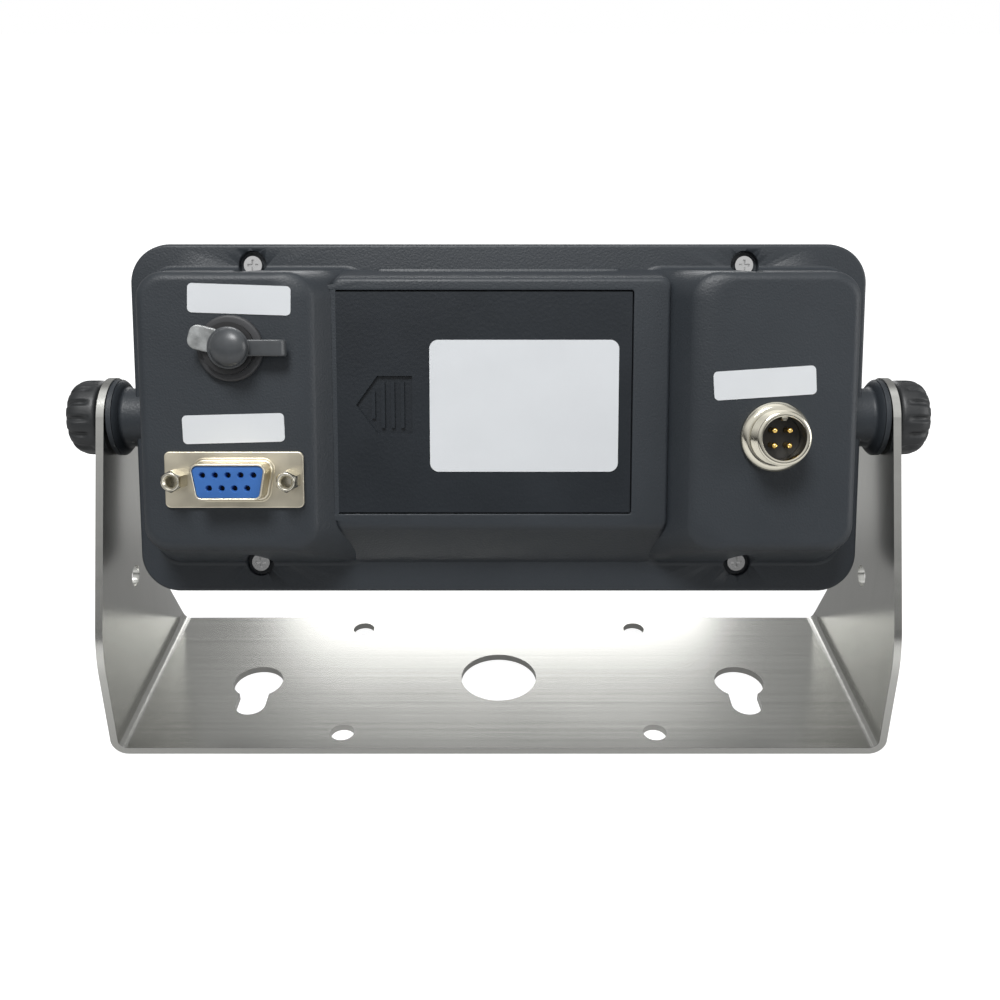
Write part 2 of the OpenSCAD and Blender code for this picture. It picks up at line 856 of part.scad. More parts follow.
module clamp_washer() {
    in_case() difference() {
        bar_x(washer_x, washer_t, washer_d);
        bar_x(washer_x - over, washer_t + 2 * over, stud_d + 2 * stud_clear);
    }
}

module clamp_washer_left() {
    color("silver") clamp_washer();
}

module clamp_washer_right() {
    color("silver") mirror([1, 0, 0]) clamp_washer();
}

module knob_body() {
    difference() {
        union() {
            translate([grip_x, 0, 0]) rotate([0, 90, 0]) rotate_extrude()
                domed(knob_d / 2, knob_l, knob_edge_r);
        }
        bar_x(grip_x - over, over + recess_x - grip_x, recess_d);
        for (i = [1:flute_count]) rotate([i * 360 / flute_count, 0, 0])
            translate([0, 0, knob_d / 2 + flute_d / 2 - flute_depth])
                bar_x(grip_x + over, knob_l, flute_d);
        bar_x(grip_x - over, over + stud_in_knob, stud_d);
    }
}

module knob_left() {
    color([0.08, 0.08, 0.09]) in_case() knob_body();
}

module knob_right() {
    color([0.08, 0.08, 0.09]) in_case() mirror([1, 0, 0]) knob_body();
}

module stud() {
    x0 = side_x + boss_root + stud_end_gap;
    bar_x(x0, grip_x + stud_in_knob - x0 - seat, stud_d);
}

module knob_stud_left() {
    color("gray") in_case() stud();
}

module knob_stud_right() {
    color("gray") in_case() mirror([1, 0, 0]) stud();
}

// Battery bay

module door_grip() {
    translate([0, 0, grip_z]) plate_y(block_y - grip_depth, grip_depth + over)
        polygon([[grip_back_x, -grip_h / 2], [grip_neck_x, -grip_h / 2], [grip_tip_x, 0],
            [grip_neck_x, grip_h / 2], [grip_back_x, grip_h / 2]]);
}

module grip_ribs() {
    for (i = [0:rib_count - 1]) {
        h = i == rib_count - 1 ? last_rib_h : rib_h;
        translate([rib_x + i * rib_pitch - rib_t / 2, block_y - grip_depth - slab, grip_z - h / 2])
            cube([rib_t, grip_depth - rib_top_gap + slab, h]);
    }
}

module battery_door() {
    color([0.2, 0.21, 0.23]) in_case() {
        difference() {
            translate([door_left_x, block_y - door_t, -door_low_z])
                cube([door_w, door_t, door_top_z + door_low_z]);
            door_grip();
        }
        grip_ribs();
    }
}

module each_cell() {
    for (i = [0:cell_count - 1]) translate([0, 0, bay_mid_z + (i - (cell_count - 1) / 2) * cell_pitch])
        mirror([i % 2, 0, 0]) translate([(i % 2 == 0 ? 1 : -1) * (bay_x0 + bay_x1) / 2, 0, 0])
            children();
}

// One cell about the bay's middle, its nub toward +X
module cell() {
    half = (bay_x1 - bay_x0) / 2;
    x_tip = half - contact_t - seat;
    translate([0, cell_y, 0]) {
        bar_x(x_tip - cell_l, cell_l - nub_l, cell_d);
        bar_x(x_tip - nub_l - seat, nub_l + seat, nub_d);
    }
}

module battery_cells() {
    color("darkseagreen") in_case() each_cell() cell();
}

// A tube swept along a list of points, as one closed solid
function turn_to(d) = let (side = abs(d[2]) > 0.9 * norm(d) ? [1, 0, 0] : [0, 0, 1],
    u = cross(side, d), v = cross(d, u)) [u / norm(u), v / norm(v)];

module tube_along(points, d, sides) {
    n = len(points);
    rings = [for (i = [0:n - 1]) let (
        way = points[min(i + 1, n - 1)] - points[max(i - 1, 0)], f = turn_to(way))
        for (k = [0:sides - 1]) let (a = 360 * k / sides)
            points[i] + d / 2 * (cos(a) * f[0] + sin(a) * f[1])];
    faces = [for (i = [0:n - 2], k = [0:sides - 1]) let (k2 = (k + 1) % sides)
        each [[i * sides + k, (i + 1) * sides + k2, i * sides + k2],
            [i * sides + k, (i + 1) * sides + k, (i + 1) * sides + k2]]];
    first = [for (k = [0:sides - 1]) k];
    last = [for (k = [sides - 1:-1:0]) (n - 1) * sides + k];
    polyhedron(points = rings, faces = concat(faces, [first, last]));
}

module coil_spring() {
    steps = 12;
    run = spring_l - spring_wire - 2 * seat;
    half = (bay_x1 - bay_x0) / 2;
    path = [for (i = [0:spring_turns * steps]) let (a = 360 * i / steps,
        s = i / (spring_turns * steps), r = (spring_d / 2) * (1 - spring_taper_share * s))
        [contact_t - half + seat + spring_wire / 2 + run * s, cell_y + r * cos(a), r * sin(a)]];
    tube_along(path, spring_wire, 6);
}

module battery_springs() {
    color("silver") in_case() each_cell() coil_spring();
}

module battery_contacts() {
    plate_w = cell_d - 2 * bay_rib;
    pair = plate_w + cell_pitch;
    y0 = cell_y - plate_w / 2;
    color("silver") in_case() {
        for (s = [-1, 1]) {
            translate([bay_x1 - contact_t, y0, bay_mid_z + s * cell_pitch - pair / 2])
                cube([contact_t, plate_w, pair]);
            translate([bay_x0, y0, end_cell_z(s) - plate_w / 2]) cube([contact_t, plate_w, plate_w]);
            translate([bay_x0, bay_floor_y - contact_tail_l, end_cell_z(s) - contact_tail_w / 2])
                cube([contact_t, y0 + over - bay_floor_y + contact_tail_l, contact_tail_w]);
        }
        translate([bay_x0, y0, bay_mid_z - pair / 2]) cube([contact_t, plate_w, pair]);
    }
}

module battery_leads() {
    y0 = -board_y + seat;
    y1 = bay_floor_y - contact_tail_l - seat;
    color("firebrick") in_case() for (s = [-1, 1])
        translate([bay_x0 + contact_t / 2, 0, end_cell_z(s)]) bar_y(y0, y1 - y0, lead_d);
}

// Labels

module label(w, h, r, y) {
    plate_y(y, label_t) rounded(w, h, r);
}

module rating_label() {
    color("white") in_case() translate([rating_x, 0, rating_z])
        label(rating_w, rating_h, rating_r, block_y);
}

module power_label() {
    color("white") in_case() translate([power_label_x, 0, power_label_z]) rotate([0, power_label_turn, 0])
        label(port_label_w, port_label_h, label_r, pod_y);
}

module serial_label() {
    color("white") in_case() translate([ports_x, 0, serial_label_z]) rotate([0, serial_label_turn, 0])
        label(port_label_w, port_label_h, label_r, pod_y);
}

module sensor_label() {
    color("white") in_case() translate([sensor_label_x, 0, sensor_label_z])
        rotate([0, sensor_label_turn, 0])
        label(port_label_w, port_label_h, label_r, pod_y);
}

// Serial connector

// Points of a rounded corner at c, between two angles
function corner(c, r, from, to) =
    [for (i = [0:corner_steps]) let (a = from + (to - from) * i / corner_steps) c + r * [cos(a), sin(a)]];

// A D with rounded corners, wider at its upper edge
module d_outline(w, h, r) {
    drop = (h - 2 * r) * tan(d_slant);
    top = [w / 2 - r, h / 2 - r];
    low = [w / 2 - r - drop, r - h / 2];
    half = concat(corner(low, r, -90, -d_slant), corner(top, r, -d_slant, 90));
    n = len(half);
    polygon(concat(half, [for (i = [0:n - 1]) [-half[n - 1 - i][0], half[n - 1 - i][1]]]));
}

module at_serial() {
    in_case() translate([ports_x, 0, -serial_z]) children();
}

module serial_flange() {
    color("tan") at_serial() difference() {
        union() {
            plate_y(pod_y, flange_t) rounded(serial_w, serial_h, flange_r);
            plate_y(pod_y + seat, flange_t + d_rise - seat) d_outline(d_top_w, d_h, d_r);
        }
        plate_y(pod_y - over, flange_t + d_rise + 2 * over)
            d_outline(d_top_w - 2 * d_wall, d_h - 2 * d_wall, d_r - d_wall);
        for (s = [-1, 1]) translate([s * jack_screw_pitch / 2, 0, 0])
            bar_y(pod_y - over, flange_t + 2 * over, hex_shank_d + fit);
    }
}

module each_socket() {
    for (row = [0, 1], i = [0:4 - row])
        translate([(i - (4 - row) / 2) * socket_pitch, 0, (0.5 - row) * socket_row]) children();
}

module serial_insulator() {
    inset = d_wall + seat;
    color("royalblue") at_serial() difference() {
        union() {
            plate_y(pod_y - serial_body_l, serial_body_l + flange_t + d_rise - slot_clear)
                d_outline(d_top_w - 2 * inset, d_h - 2 * inset, d_r - inset);
            translate([-serial_body_w / 2, pod_y - serial_body_l, -serial_body_h / 2])
                cube([serial_body_w, serial_body_l - seat, serial_body_h]);
        }
        each_socket() bar_y(pod_y - serial_body_l - over, serial_body_l + d_rise + 3 * over, socket_d);
    }
}

module serial_sockets() {
    wall_gap = 2 * seat;
    color("gold") at_serial() each_socket() {
        bar_y(pod_y - serial_body_l, serial_body_l + d_rise - 2 * over, socket_d - wall_gap);
        bar_y(pod_y - serial_body_l - tail_l, tail_l + seat, tail_d);
    }
}

module serial_jack_screws() {
    color("silver") at_serial() for (s = [-1, 1]) translate([s * jack_screw_pitch / 2, 0, 0])
        difference() {
            union() {
                hex_y(pod_y + flange_t, hex_l, hex_w);
                bar_y(pod_y - wall - nut_t - seat, wall + nut_t + flange_t + 2 * seat, hex_shank_d - fit);
            }
            bar_y(pod_y + flange_t + hex_l - hex_thread_l, hex_thread_l + over, hex_thread_d);
        }
}

module serial_nuts() {
    color("silver") at_serial() for (s = [-1, 1]) translate([s * jack_screw_pitch / 2, 0, 0])
        difference() {
            hex_y(pod_y - wall - nut_t, nut_t, nut_w);
            bar_y(pod_y - wall - nut_t - over, nut_t + 2 * over, hex_shank_d + fit);
        }
}

module serial_ribbon() {
    y0 = header_h - board_y + seat;
    y1 = pod_y - serial_body_l - tail_l - seat;
    color("lightgray") at_serial() translate([-ribbon_w / 2, y0, -ribbon_t / 2])
        cube([ribbon_w, y1 - y0, ribbon_t]);
}

// Load-cell connector

module at_sensor() {
    in_case() translate([-sensor_x, 0, -sensor_z]) children();
}

module sensor_shell() {
    top = pod_y + sensor_rise;
    color("silver") at_sensor() {
        difference() {
            union() {
                bar_y(pod_y, sensor_flange_t - sensor_bevel, sensor_flange_d);
                translate([0, pod_y + sensor_flange_t - sensor_bevel, 0]) rotate([-90, 0, 0])
                    cylinder(d1 = sensor_flange_d, d2 = sensor_flange_d - 2 * sensor_bevel,
                        h = sensor_bevel);
                bar_y(pod_y - sensor_body_l, sensor_body_l + sensor_rise, sensor_thread_d);
            }
            bar_y(pod_y - sensor_body_l - over, sensor_body_l + sensor_rise + 2 * over, sensor_bore_d);
        }
        translate([-rib_w / 2, pod_y + sensor_floor, sensor_bore_d / 2 - rib_l])
            cube([rib_w, sensor_rise - sensor_floor - rib_l, rib_l + seat]);
    }
}

module each_pin() {
    for (a = [45:90:315]) rotate([0, a, 0]) translate([sensor_pin_ring / 2, 0, 0]) children();
}

module sensor_insulator() {
    y0 = pod_y - sensor_body_l + over;
    color([0.1, 0.1, 0.1]) at_sensor() difference() {
        bar_y(y0, pod_y + sensor_floor - seat - y0, sensor_bore_d - 2 * seat);
        each_pin() bar_y(y0 - over, pod_y + sensor_floor + 2 * over - y0, sensor_pin_d + 2 * seat);
    }
}

module sensor_pins() {
    y0 = pod_y - sensor_body_l - sensor_cup_l;
    color("gold") at_sensor() each_pin()
        bar_y(y0, pod_y + sensor_floor + sensor_pin_rise - y0, sensor_pin_d);
}

module sensor_nut() {
    color("silver") at_sensor() difference() {
        hex_y(pod_y - wall - sensor_nut_t, sensor_nut_t - seat, sensor_nut_w);
        bar_y(pod_y - wall - sensor_nut_t - over, sensor_nut_t + 2 * over, sensor_thread_d + 2 * seat);
    }
}

module sensor_leads() {
    y0 = header_h - board_y + seat;
    y1 = pod_y - sensor_body_l - sensor_cup_l - seat;
    color("darkgreen") at_sensor() each_pin() bar_y(y0, y1 - y0, lead_d);
}

// Power jack and its dust cap

module at_jack() {
    in_case() translate([ports_x, 0, jack_z]) children();
}

module power_jack() {
    top = pod_y + jack_rise;
    color([0.12, 0.12, 0.12]) at_jack() difference() {
        union() {
            bar_y(pod_y - wall - jack_body_l, jack_body_l - seat, jack_body_d);
            bar_y(pod_y - wall - jack_body_l, wall + jack_body_l + jack_rise, jack_neck_d);
        }
        bar_y(top - jack_depth, jack_depth + over, jack_bore_d);
        bar_y(pod_y - wall - jack_body_l + over, jack_body_l, jack_pin_d + fit);
    }
}

module power_jack_pin() {
    y0 = pod_y - wall - jack_body_l + over + seat;
    y1 = pod_y + jack_rise - jack_pin_gap;
    color("silver") at_jack() bar_y(y0, y1 - y0, jack_pin_d);
}

module power_jack_nut() {
    color("dimgray") at_jack() ring_y(pod_y + cap_ring_t, jack_nut_t, jack_nut_d, jack_neck_d + 2 * seat);
}

module power_leads() {
    y0 = header_h - board_y + seat;
    y1 = pod_y - wall - jack_body_l - seat;
    color("firebrick") at_jack() for (s = [-1, 1])
        translate([s * jack_leads_pitch / 2, 0, 0]) bar_y(y0, y1 - y0, lead_d);
}

// Half of the strap's turn about its bending line, on the side away from the jack
module strap_turn(w) {
    linear_extrude(w, center = true) difference() {
        circle(strap_loop_r);
        circle(strap_loop_r - strap_t);
        translate([0, -strap_loop_r]) square(2 * strap_loop_r);
    }
}

// The ring round the jack, with the strap's two outer bands
module jack_cap_ring() {
    band_z = strap_band / 2 + strap_gap + strap_side / 2;
    color([0.16, 0.16, 0.17]) at_jack() {
        difference() {
            union() {
                bar_y(pod_y + seat, cap_ring_t - 2 * seat, cap_ring_d);
                for (s = [-1, 1]) translate([-strap_reach - seat,
                    pod_y + strap_rise - strap_loop_r, s * band_z - strap_side / 2])
                    cube([strap_reach - cap_ring_d / 4, strap_t, strap_side]);
            }
            bar_y(pod_y - over, cap_ring_t + 2 * over, jack_neck_d + 2 * fit);
        }
        for (s = [-1, 1]) translate([-strap_reach, pod_y + strap_rise, s * band_z])
            strap_turn(strap_side);
    }
}

module jack_cap() {
    y0 = pod_y + strap_rise + strap_loop_r - strap_t;
    y1 = pod_y + jack_rise + cap_gap;
    outer = jack_neck_d + 2 * (cap_gap + cap_wall);
    color([0.24, 0.24, 0.26]) at_jack() {
        difference() {
            union() {
                translate([0, y0, 0]) rotate([-90, 0, 0]) rotate_extrude()
                    domed(outer / 2, pod_y + cap_rise - y0, cap_dome_r);
                rotate([0, -tab_turn, 0]) {
                    translate([0, y0, -tab_w / 2])
                        cube([tab_reach - tab_w / 2, strap_t, tab_w]);
                    translate([tab_reach - tab_w / 2, 0, 0]) bar_y(y0, strap_t, tab_w);
                }
                translate([-strap_reach - seat, y0, -strap_band / 2])
                    cube([strap_reach, strap_t, strap_band]);
                translate([-strap_reach, pod_y + strap_rise, 0]) strap_turn(strap_band);
            }
            bar_y(y0 - over, y1 - y0 + over, jack_neck_d + 2 * cap_gap);
        }
    }
}

// Front of the case

function key_x(i) = (i - (key_count + 1) / 2) * key_pitch;

module overlay_outline(extra) {
    w = case_w - 2 * overlay_margin + 2 * extra;
    h = case_h - 2 * overlay_margin + 2 * extra;
    case_outline(w, h, overlay_r);
}

module front_overlay() {
    color([0.1, 0.12, 0.16]) in_case() difference() {
        plate_y(face_y, overlay_t - seat) overlay_outline(0);
        translate([0, 0, window_z]) plate_y(face_y - over, overlay_t + 2 * over)
            rounded(window_w - 2 * lens_ledge, window_h - 2 * lens_ledge, lens_r);
        for (i = [1:key_count]) translate([key_x(i), 0, -key_z])
            plate_y(face_y - over, overlay_t + 2 * over)
                rounded(key_w + 2 * key_gap, key_h + 2 * key_gap, key_r + key_gap);
    }
}

module display_window() {
    color([0.3, 0.1, 0.1, 0.6]) in_case() translate([0, 0, window_z])
        plate_y(face_y + overlay_t, lens_t - seat) rounded(window_w, window_h, lens_r - fit);
}

module key_cap(i) {
    flange_y = front_in_y + seat;
    stem_end = board_front_y - mat_t - dome_h - key_travel - seat;
    color("dimgray") in_case() translate([key_x(i), 0, -key_z]) {
        plate_y(face_y - key_rise, flange_y + seat - face_y + key_rise) rounded(key_w, key_h, key_r);
        plate_y(flange_y, key_flange_t)
            rounded(key_w + 2 * key_gap + 2 * key_flange, key_h + 2 * key_gap + 2 * key_flange, key_r);
        plate_y(flange_y, stem_end - flange_y) rounded(key_stem_w, key_stem_w, key_stem_w / 6);
    }
}

module key_mat() {
    w = (key_count - 1) * key_pitch + key_w + 2 * mat_margin;
    h = key_h + 2 * mat_margin;
    color([0.5, 0.5, 0.52]) in_case() translate([0, 0, -key_z]) {
        plate_y(board_front_y - mat_t, mat_t - seat) rounded(w, h, key_r);
        for (i = [1:key_count]) translate([key_x(i), board_front_y - mat_t - dome_h, 0])
            rotate([-90, 0, 0]) cylinder(d1 = dome_top_d, d2 = dome_d, h = dome_h + seat);
    }
}

module display_module() {
    color([0.15, 0.15, 0.15]) in_case() translate([0, 0, window_z])
        plate_y(board_front_y - display_t, display_t - seat)
            rounded(window_w - 2 * display_margin, window_h - 2 * display_margin, lens_r / 2);
}

// One bar of a digit, along X, with pointed ends
module bar_segment(length) {
    half = length / 2 - segment_gap;
    tip = segment_w / 2;
    polygon([[-half, 0], [tip - half, tip], [half - tip, tip], [half, 0], [half - tip, -tip],
        [tip - half, -tip]]);
}

module digit() {
    rise = (digit_h - segment_w) / 2;
    for (level = [-1:1]) translate([0, level * rise]) bar_segment(digit_w);
    for (sx = [-1, 1], sz = [-1, 1]) translate([sx * digit_w / 2, sz * rise / 2]) rotate(90)
        bar_segment(rise);
}

module display_digits() {
    y0 = board_front_y - display_t - segment_t;
    color("orangered") in_case() translate([0, 0, window_z]) plate_y(y0, segment_t - seat)
        for (i = [1:digit_count])
            translate([(i - (digit_count + 1) / 2) * digit_pitch, 0]) {
                digit();
                translate([digit_w / 2 + dot_d, -digit_h / 2 + dot_d / 2]) circle(d = dot_d);
            }
}

// Boards

module main_board() {
    color("darkgreen") in_case() difference() {
        plate_y(board_front_y, board_t) rounded(board_w, board_h, overlay_r / 2);
        standoffs(board_hole_d, board_front_y - over, board_t + 2 * over);
    }
}

module board_screws() {
    color("silver") in_case()
        for (sx = [-1, 1], sz = [-1, 1]) translate([sx * board_hole_x, 0, sz * board_hole_z])
            cross_screw(-board_y + seat, board_screw_l);
}

module board_chips() {
    color([0.1, 0.1, 0.1]) in_case() for (c = chips)
        translate([c[0] * board_w / 2 - c[2] / 2, -board_y + seat, c[1] * board_h / 2 - c[3] / 2])
            cube([c[2], chip_t, c[3]]);
}

module board_headers() {
    w = ribbon_w + 2 * over;
    color("ivory") in_case() {
        for (at = [[ports_x, -serial_z], [ports_x, jack_z], [-sensor_x, -sensor_z]])
            translate([at[0] - w / 2, -board_y + seat, at[1] - header_d / 2])
                cube([w, header_h - seat, header_d]);
    }
}

module buzzer() {
    color([0.1, 0.1, 0.1]) in_case()
        translate([-buzzer_x_share * board_w / 2, 0, buzzer_z_share * board_h / 2])
            bar_y(-board_y + seat, buzzer_h, buzzer_d);
}

bracket();
rear_shell();
front_shell();
case_gasket();
case_screws();
hinge_inserts();
hinge_friction_washers();
clamp_washer_left();
clamp_washer_right();
knob_left();
knob_right();
knob_stud_left();
knob_stud_right();
battery_door();
battery_cells();
battery_springs();
battery_contacts();
battery_leads();
rating_label();
power_label();
serial_label();
sensor_label();
serial_flange();
serial_insulator();
serial_sockets();
serial_jack_screws();
serial_nuts();
serial_ribbon();
sensor_shell();
sensor_insulator();
sensor_pins();
sensor_nut();
sensor_leads();
power_jack();
power_jack_pin();
power_jack_nut();
power_leads();
jack_cap_ring();
jack_cap();
display_window();
front_overlay();
key_mat();
key_cap(1);  // key_1
key_cap(2);  // key_2
key_cap(3);  // key_3
key_cap(4);  // key_4
key_cap(5);  // key_5
key_cap(6);  // key_6
display_module();
display_digits();
main_board();
board_screws();
board_chips();
board_headers();
buzzer();
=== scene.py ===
"""Looks of a weighing indicator in its stainless U bracket.

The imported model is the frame. Each operator makes one piece or a group of like pieces and
rides it on a body of the frame. Meshes are in metres. Edges, profiles and places are written
in millimetres, in the upright case: X across, Y toward the rear, Z up, from the hinge axis.
"""
import math

import bmesh
import bpy
import numpy as np
from bpy.props import FloatProperty, FloatVectorProperty, IntProperty, PointerProperty, StringProperty
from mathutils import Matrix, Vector
from mathutils.geometry import delaunay_2d_cdt


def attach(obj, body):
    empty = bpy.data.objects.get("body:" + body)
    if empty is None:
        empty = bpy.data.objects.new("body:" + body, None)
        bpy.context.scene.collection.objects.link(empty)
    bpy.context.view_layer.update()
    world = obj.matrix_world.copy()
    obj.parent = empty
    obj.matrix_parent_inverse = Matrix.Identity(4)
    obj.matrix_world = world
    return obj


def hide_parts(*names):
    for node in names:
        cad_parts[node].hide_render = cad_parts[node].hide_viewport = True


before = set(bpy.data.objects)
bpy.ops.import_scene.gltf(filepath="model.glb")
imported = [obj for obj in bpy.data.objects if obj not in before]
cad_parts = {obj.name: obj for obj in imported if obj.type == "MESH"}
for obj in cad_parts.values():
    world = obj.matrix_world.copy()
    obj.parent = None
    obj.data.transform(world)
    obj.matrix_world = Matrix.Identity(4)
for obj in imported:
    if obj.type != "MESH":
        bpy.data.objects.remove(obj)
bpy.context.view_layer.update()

bl_info = {
    "name": "Weighing indicator looks",
    "version": (1, 0, 0),
    "blender": (4, 5, 0),
    "location": "3D View > Sidebar > Indicator",
    "description": "Dresses the packed indicator with moulded, brushed and printed pieces",
    "category": "Object",
}

MM = 0.001
QUARTER = math.pi / 2
WHITE = (1.0, 1.0, 1.0, 1.0)
# What is added to an edge (x0, x1, z0, z1) to draw it in by 1
INWARD = np.array([1, -1, 1, -1])

# Depths of the case along Y, from its front face to the top of the pods
FRONT_Y, RIM_TOP, BLOCK_TOP, POD_TOP = -20.0, 5.0, 15.0, 21.0
POD_RISE, BLOCK_RISE = POD_TOP - RIM_TOP, BLOCK_TOP - RIM_TOP
RIM_EDGE = (-85.8, 85.8, -41.6, 40.2)
FRONT_EDGE = (-86.3, 86.3, -42.1, 40.7)
FILM_EDGE = (-81.3, 81.3, -37.1, 35.7)
WINDOW_EDGE = (-55.5, 55.5, -0.5, 26.5)
CORNER = 9.0
SCREW_X, SCREW_TOP_Z, SCREW_LOW_Z, RECESS_R, RECESS_Y = 57.2, 35.5, -34.6, 3.2, 3.0
# The pocket in the left pod that the battery door slides into: its two ends in Z and its own
# end in X, its depths, the X up to which the pod's inner wall reaches there, where the centre
# block ends beside it, and how near to an end a point is drawn onto it
DOOR_SLOT = {"low": -21.55, "high": 28.85, "end": 42.2, "floor": 12.8, "roof": 15.15,
             "wall": 39.0, "block": 37.3, "near": 0.9}
SENSOR_AT, SERIAL_AT, POWER_AT = (-61.1, 0.0, -3.6), (58.5, 0.0, -13.1), (58.5, 0.0, 15.7)
# The D shell of the serial connector, with its sides' slant
SERIAL = {"top": 16.3, "height": 7.9, "corner": 1.6, "slant": math.radians(10.0)}
POST_X, POST_HALF = 12.5, 2.15
STRAP_FOLD, STRAP_Y = -10.8, 23.3
LEAN_SHARE = 0.42
TAB_TURN = math.radians(14.0)
KEY_EDGE, KEY_TOP, KEY_STEP, KEY_Z = (-8.0, 8.0, -4.5, 4.5), -21.0, 22.0, -21.0
SEGMENTS = {"0": "abcdef", "1": "bc", "2": "abdeg", "3": "abcdg", "4": "bcfg", "5": "acdfg",
            "6": "acdefg", "7": "abc", "8": "abcdefg", "9": "abcdfg", "-": "g", " ": ""}


def number(name, value, words, **more):
    return FloatProperty(name=name, description=words, default=value, **more)


def size(name, value, words):
    """A length in metres with the value given in millimetres."""
    return number(name, value * MM, words, unit="LENGTH")


def tint(name, red, green, blue, words):
    return FloatVectorProperty(name=name, description=words, default=(red, green, blue), size=3,
                               subtype="COLOR", min=0.0, max=1.0)


class CaseSizes(bpy.types.PropertyGroup):
    tilt: number("Tilt", math.radians(20.7), "Turn of the case in the bracket", subtype="ANGLE")
    hinge_y: size("Hinge Y", -1.5, "Hinge axis in the bracket, front to back")
    hinge_z: size("Hinge Z", 78.0, "Hinge axis over the floor")
    rim_round: size("Rim rounding", 0.7, "Rounding of the rear rim's edge")
    pod_round: size("Pod rounding", 1.9, "Rounding of the pods' rear edges")
    block_round: size("Block rounding", 0.9, "Rounding of the centre block's edges")
    foot_fillet: size("Foot fillet", 0.9, "Fillet where a pod meets the rim")
    front_round: size("Front rounding", 3.2, "Rounding of the front shell's edge")
    pod_soft: size("Pod inner rounding", 4.6, "Width of the rounding along a pod's inner edge")
    boss_fillet: size("Boss fillet", 1.1, "Hollow where a hinge boss widens toward the arm")


class PieceSizes(bpy.types.PropertyGroup):
    knob_lobes: IntProperty(name="Knob lobes", description="Lobes round a clamp knob", default=14, min=6)
    knob_lobe_depth: size("Lobe depth", 0.7, "Depth of the hollows between the lobes")
    thread_pitch: size("Thread pitch", 0.75, "Pitch of the load-cell connector's thread")
    thread_depth: size("Thread depth", 0.26, "Depth of that thread")
    key_crown: size("Key crown", 0.35, "Crown of a key's cap")
    reading: StringProperty(name="Reading", description="Figures that the display shows", default="   0.00")


class FinishColours(bpy.types.PropertyGroup):
    case: tint("Case", 0.0300, 0.0355, 0.0420, "Charcoal moulded plastic")
    door: tint("Battery door", 0.0115, 0.0150, 0.0195, "Charcoal plastic of the battery door")
    knob: tint("Knobs", 0.013, 0.0145, 0.016, "Black knob plastic")
    steel: tint("Bracket", 0.54, 0.54, 0.515, "Brushed stainless steel")
    tin: tint("Flange", 0.66, 0.61, 0.49, "Tinned steel of the serial connector")
    nickel: tint("Nickel", 0.68, 0.65, 0.55, "Plated metal of the round connector")
    label: tint("Labels", 0.74, 0.765, 0.79, "White label film")
    blue: tint("Insulator", 0.045, 0.155, 0.46, "Blue plastic of the serial connector")
    rubber: tint("Rubber", 0.032, 0.033, 0.036, "Black rubber")
    film: tint("Front film", 0.020, 0.028, 0.045, "Printed film on the front")
    lit: tint("Lit segments", 1.0, 0.055, 0.02, "Display segments that are on")


class StageSetup(bpy.types.PropertyGroup):
    camera_x: number("Camera X", -0.00035, "Camera place across the case")
    camera_y: number("Camera Y", 0.2235, "Camera place behind the case")
    camera_z: number("Camera Z", 0.171, "Camera height")
    pitch: number("Pitch", math.radians(27.15), "How far the camera looks down", subtype="ANGLE")
    lens: number("Lens", 36.18, "Focal length in mm on a 36 mm sensor")
    sky: number("Sky", 0.17, "Strength of the even studio light")
    mirror_sky: number("Mirrored sky", 0.36, "Strength of the sky in gloss and glass")
    key_lamp: number("Key lamp", 9.4, "Power of the softbox above the camera, W")
    side_lamp: number("Side lamp", 2.4, "Power of the softbox at the side, W")
    back_panel: number("Back panel", 2.7, "Power of the panel behind the object, W")


# Helpers for meshes

def settings(name):
    return getattr(bpy.context.scene, name)


def in_case(points):
    """Turns points of the upright case about X by the tilt and moves them to the hinge axis."""
    s = settings("indicator_case")
    c, n = math.cos(s.tilt), math.sin(s.tilt)
    p = np.asarray(points, float)
    return np.stack([p[..., 0], s.hinge_y + p[..., 1] * c - p[..., 2] * n,
                     s.hinge_z + p[..., 1] * n + p[..., 2] * c], axis=-1)


def quarter(steps):
    """Angles of a quarter turn in even steps, without the first."""
    return np.linspace(0.0, QUARTER, steps)[1:]


def circle(steps):
    """Points of a circle of radius 1."""
    a = np.linspace(0, 2 * math.pi, steps, endpoint=False)
    return np.stack([np.cos(a), np.sin(a)], axis=1)


def rounded_path(x0, x1, z0, z1, r, along, up, turn):
    """Closed path round a rectangle with round corners: four straight runs with a quarter circle
    of radius r after each, in the X and Z plane. The counts fix which point answers which on
    another path, so two paths can be joined point by point."""
    r = min(r, (x1 - x0) / 2 - 1e-6, (z1 - z0) / 2 - 1e-6)
    t = np.linspace(0, 1, along, endpoint=False)[:, None]
    u = np.linspace(0, 1, up, endpoint=False)[:, None]
    q = np.linspace(0, 1, turn, endpoint=False)[:, None] * QUARTER
    pts = []
    corners = [((x1 - r, z0 + r), -0.5), ((x1 - r, z1 - r), 0.0),
               ((x0 + r, z1 - r), 0.5), ((x0 + r, z0 + r), 1.0)]
    runs = [((x0 + r, z0), (x1 - r, z0), t), ((x1, z0 + r), (x1, z1 - r), u),
            ((x1 - r, z1), (x0 + r, z1), t), ((x0, z1 - r), (x0, z0 + r), u)]
    for (a, b, s), (c, k) in zip(runs, corners):
        pts.append(np.array(a) + (np.array(b) - np.array(a)) * s)
        ang = k * math.pi + q
        pts.append(np.array(c) + r * np.concatenate([np.cos(ang), np.sin(ang)], axis=1))
    return np.concatenate(pts)


def level(path, y):
    """A path in X and Z, in metres, at depth y in mm."""
    return np.stack([path[:, 0], np.full(len(path), y * MM), path[:, 1]], axis=1)


def row(edge, y, r, inset, counts):
    """The rounded path of an edge (x0, x1, z0, z1), drawn in by an inset, at depth y. In mm."""
    return level(rounded_path(*((np.asarray(edge) + INWARD * inset) * MM), r * MM, *counts), y)


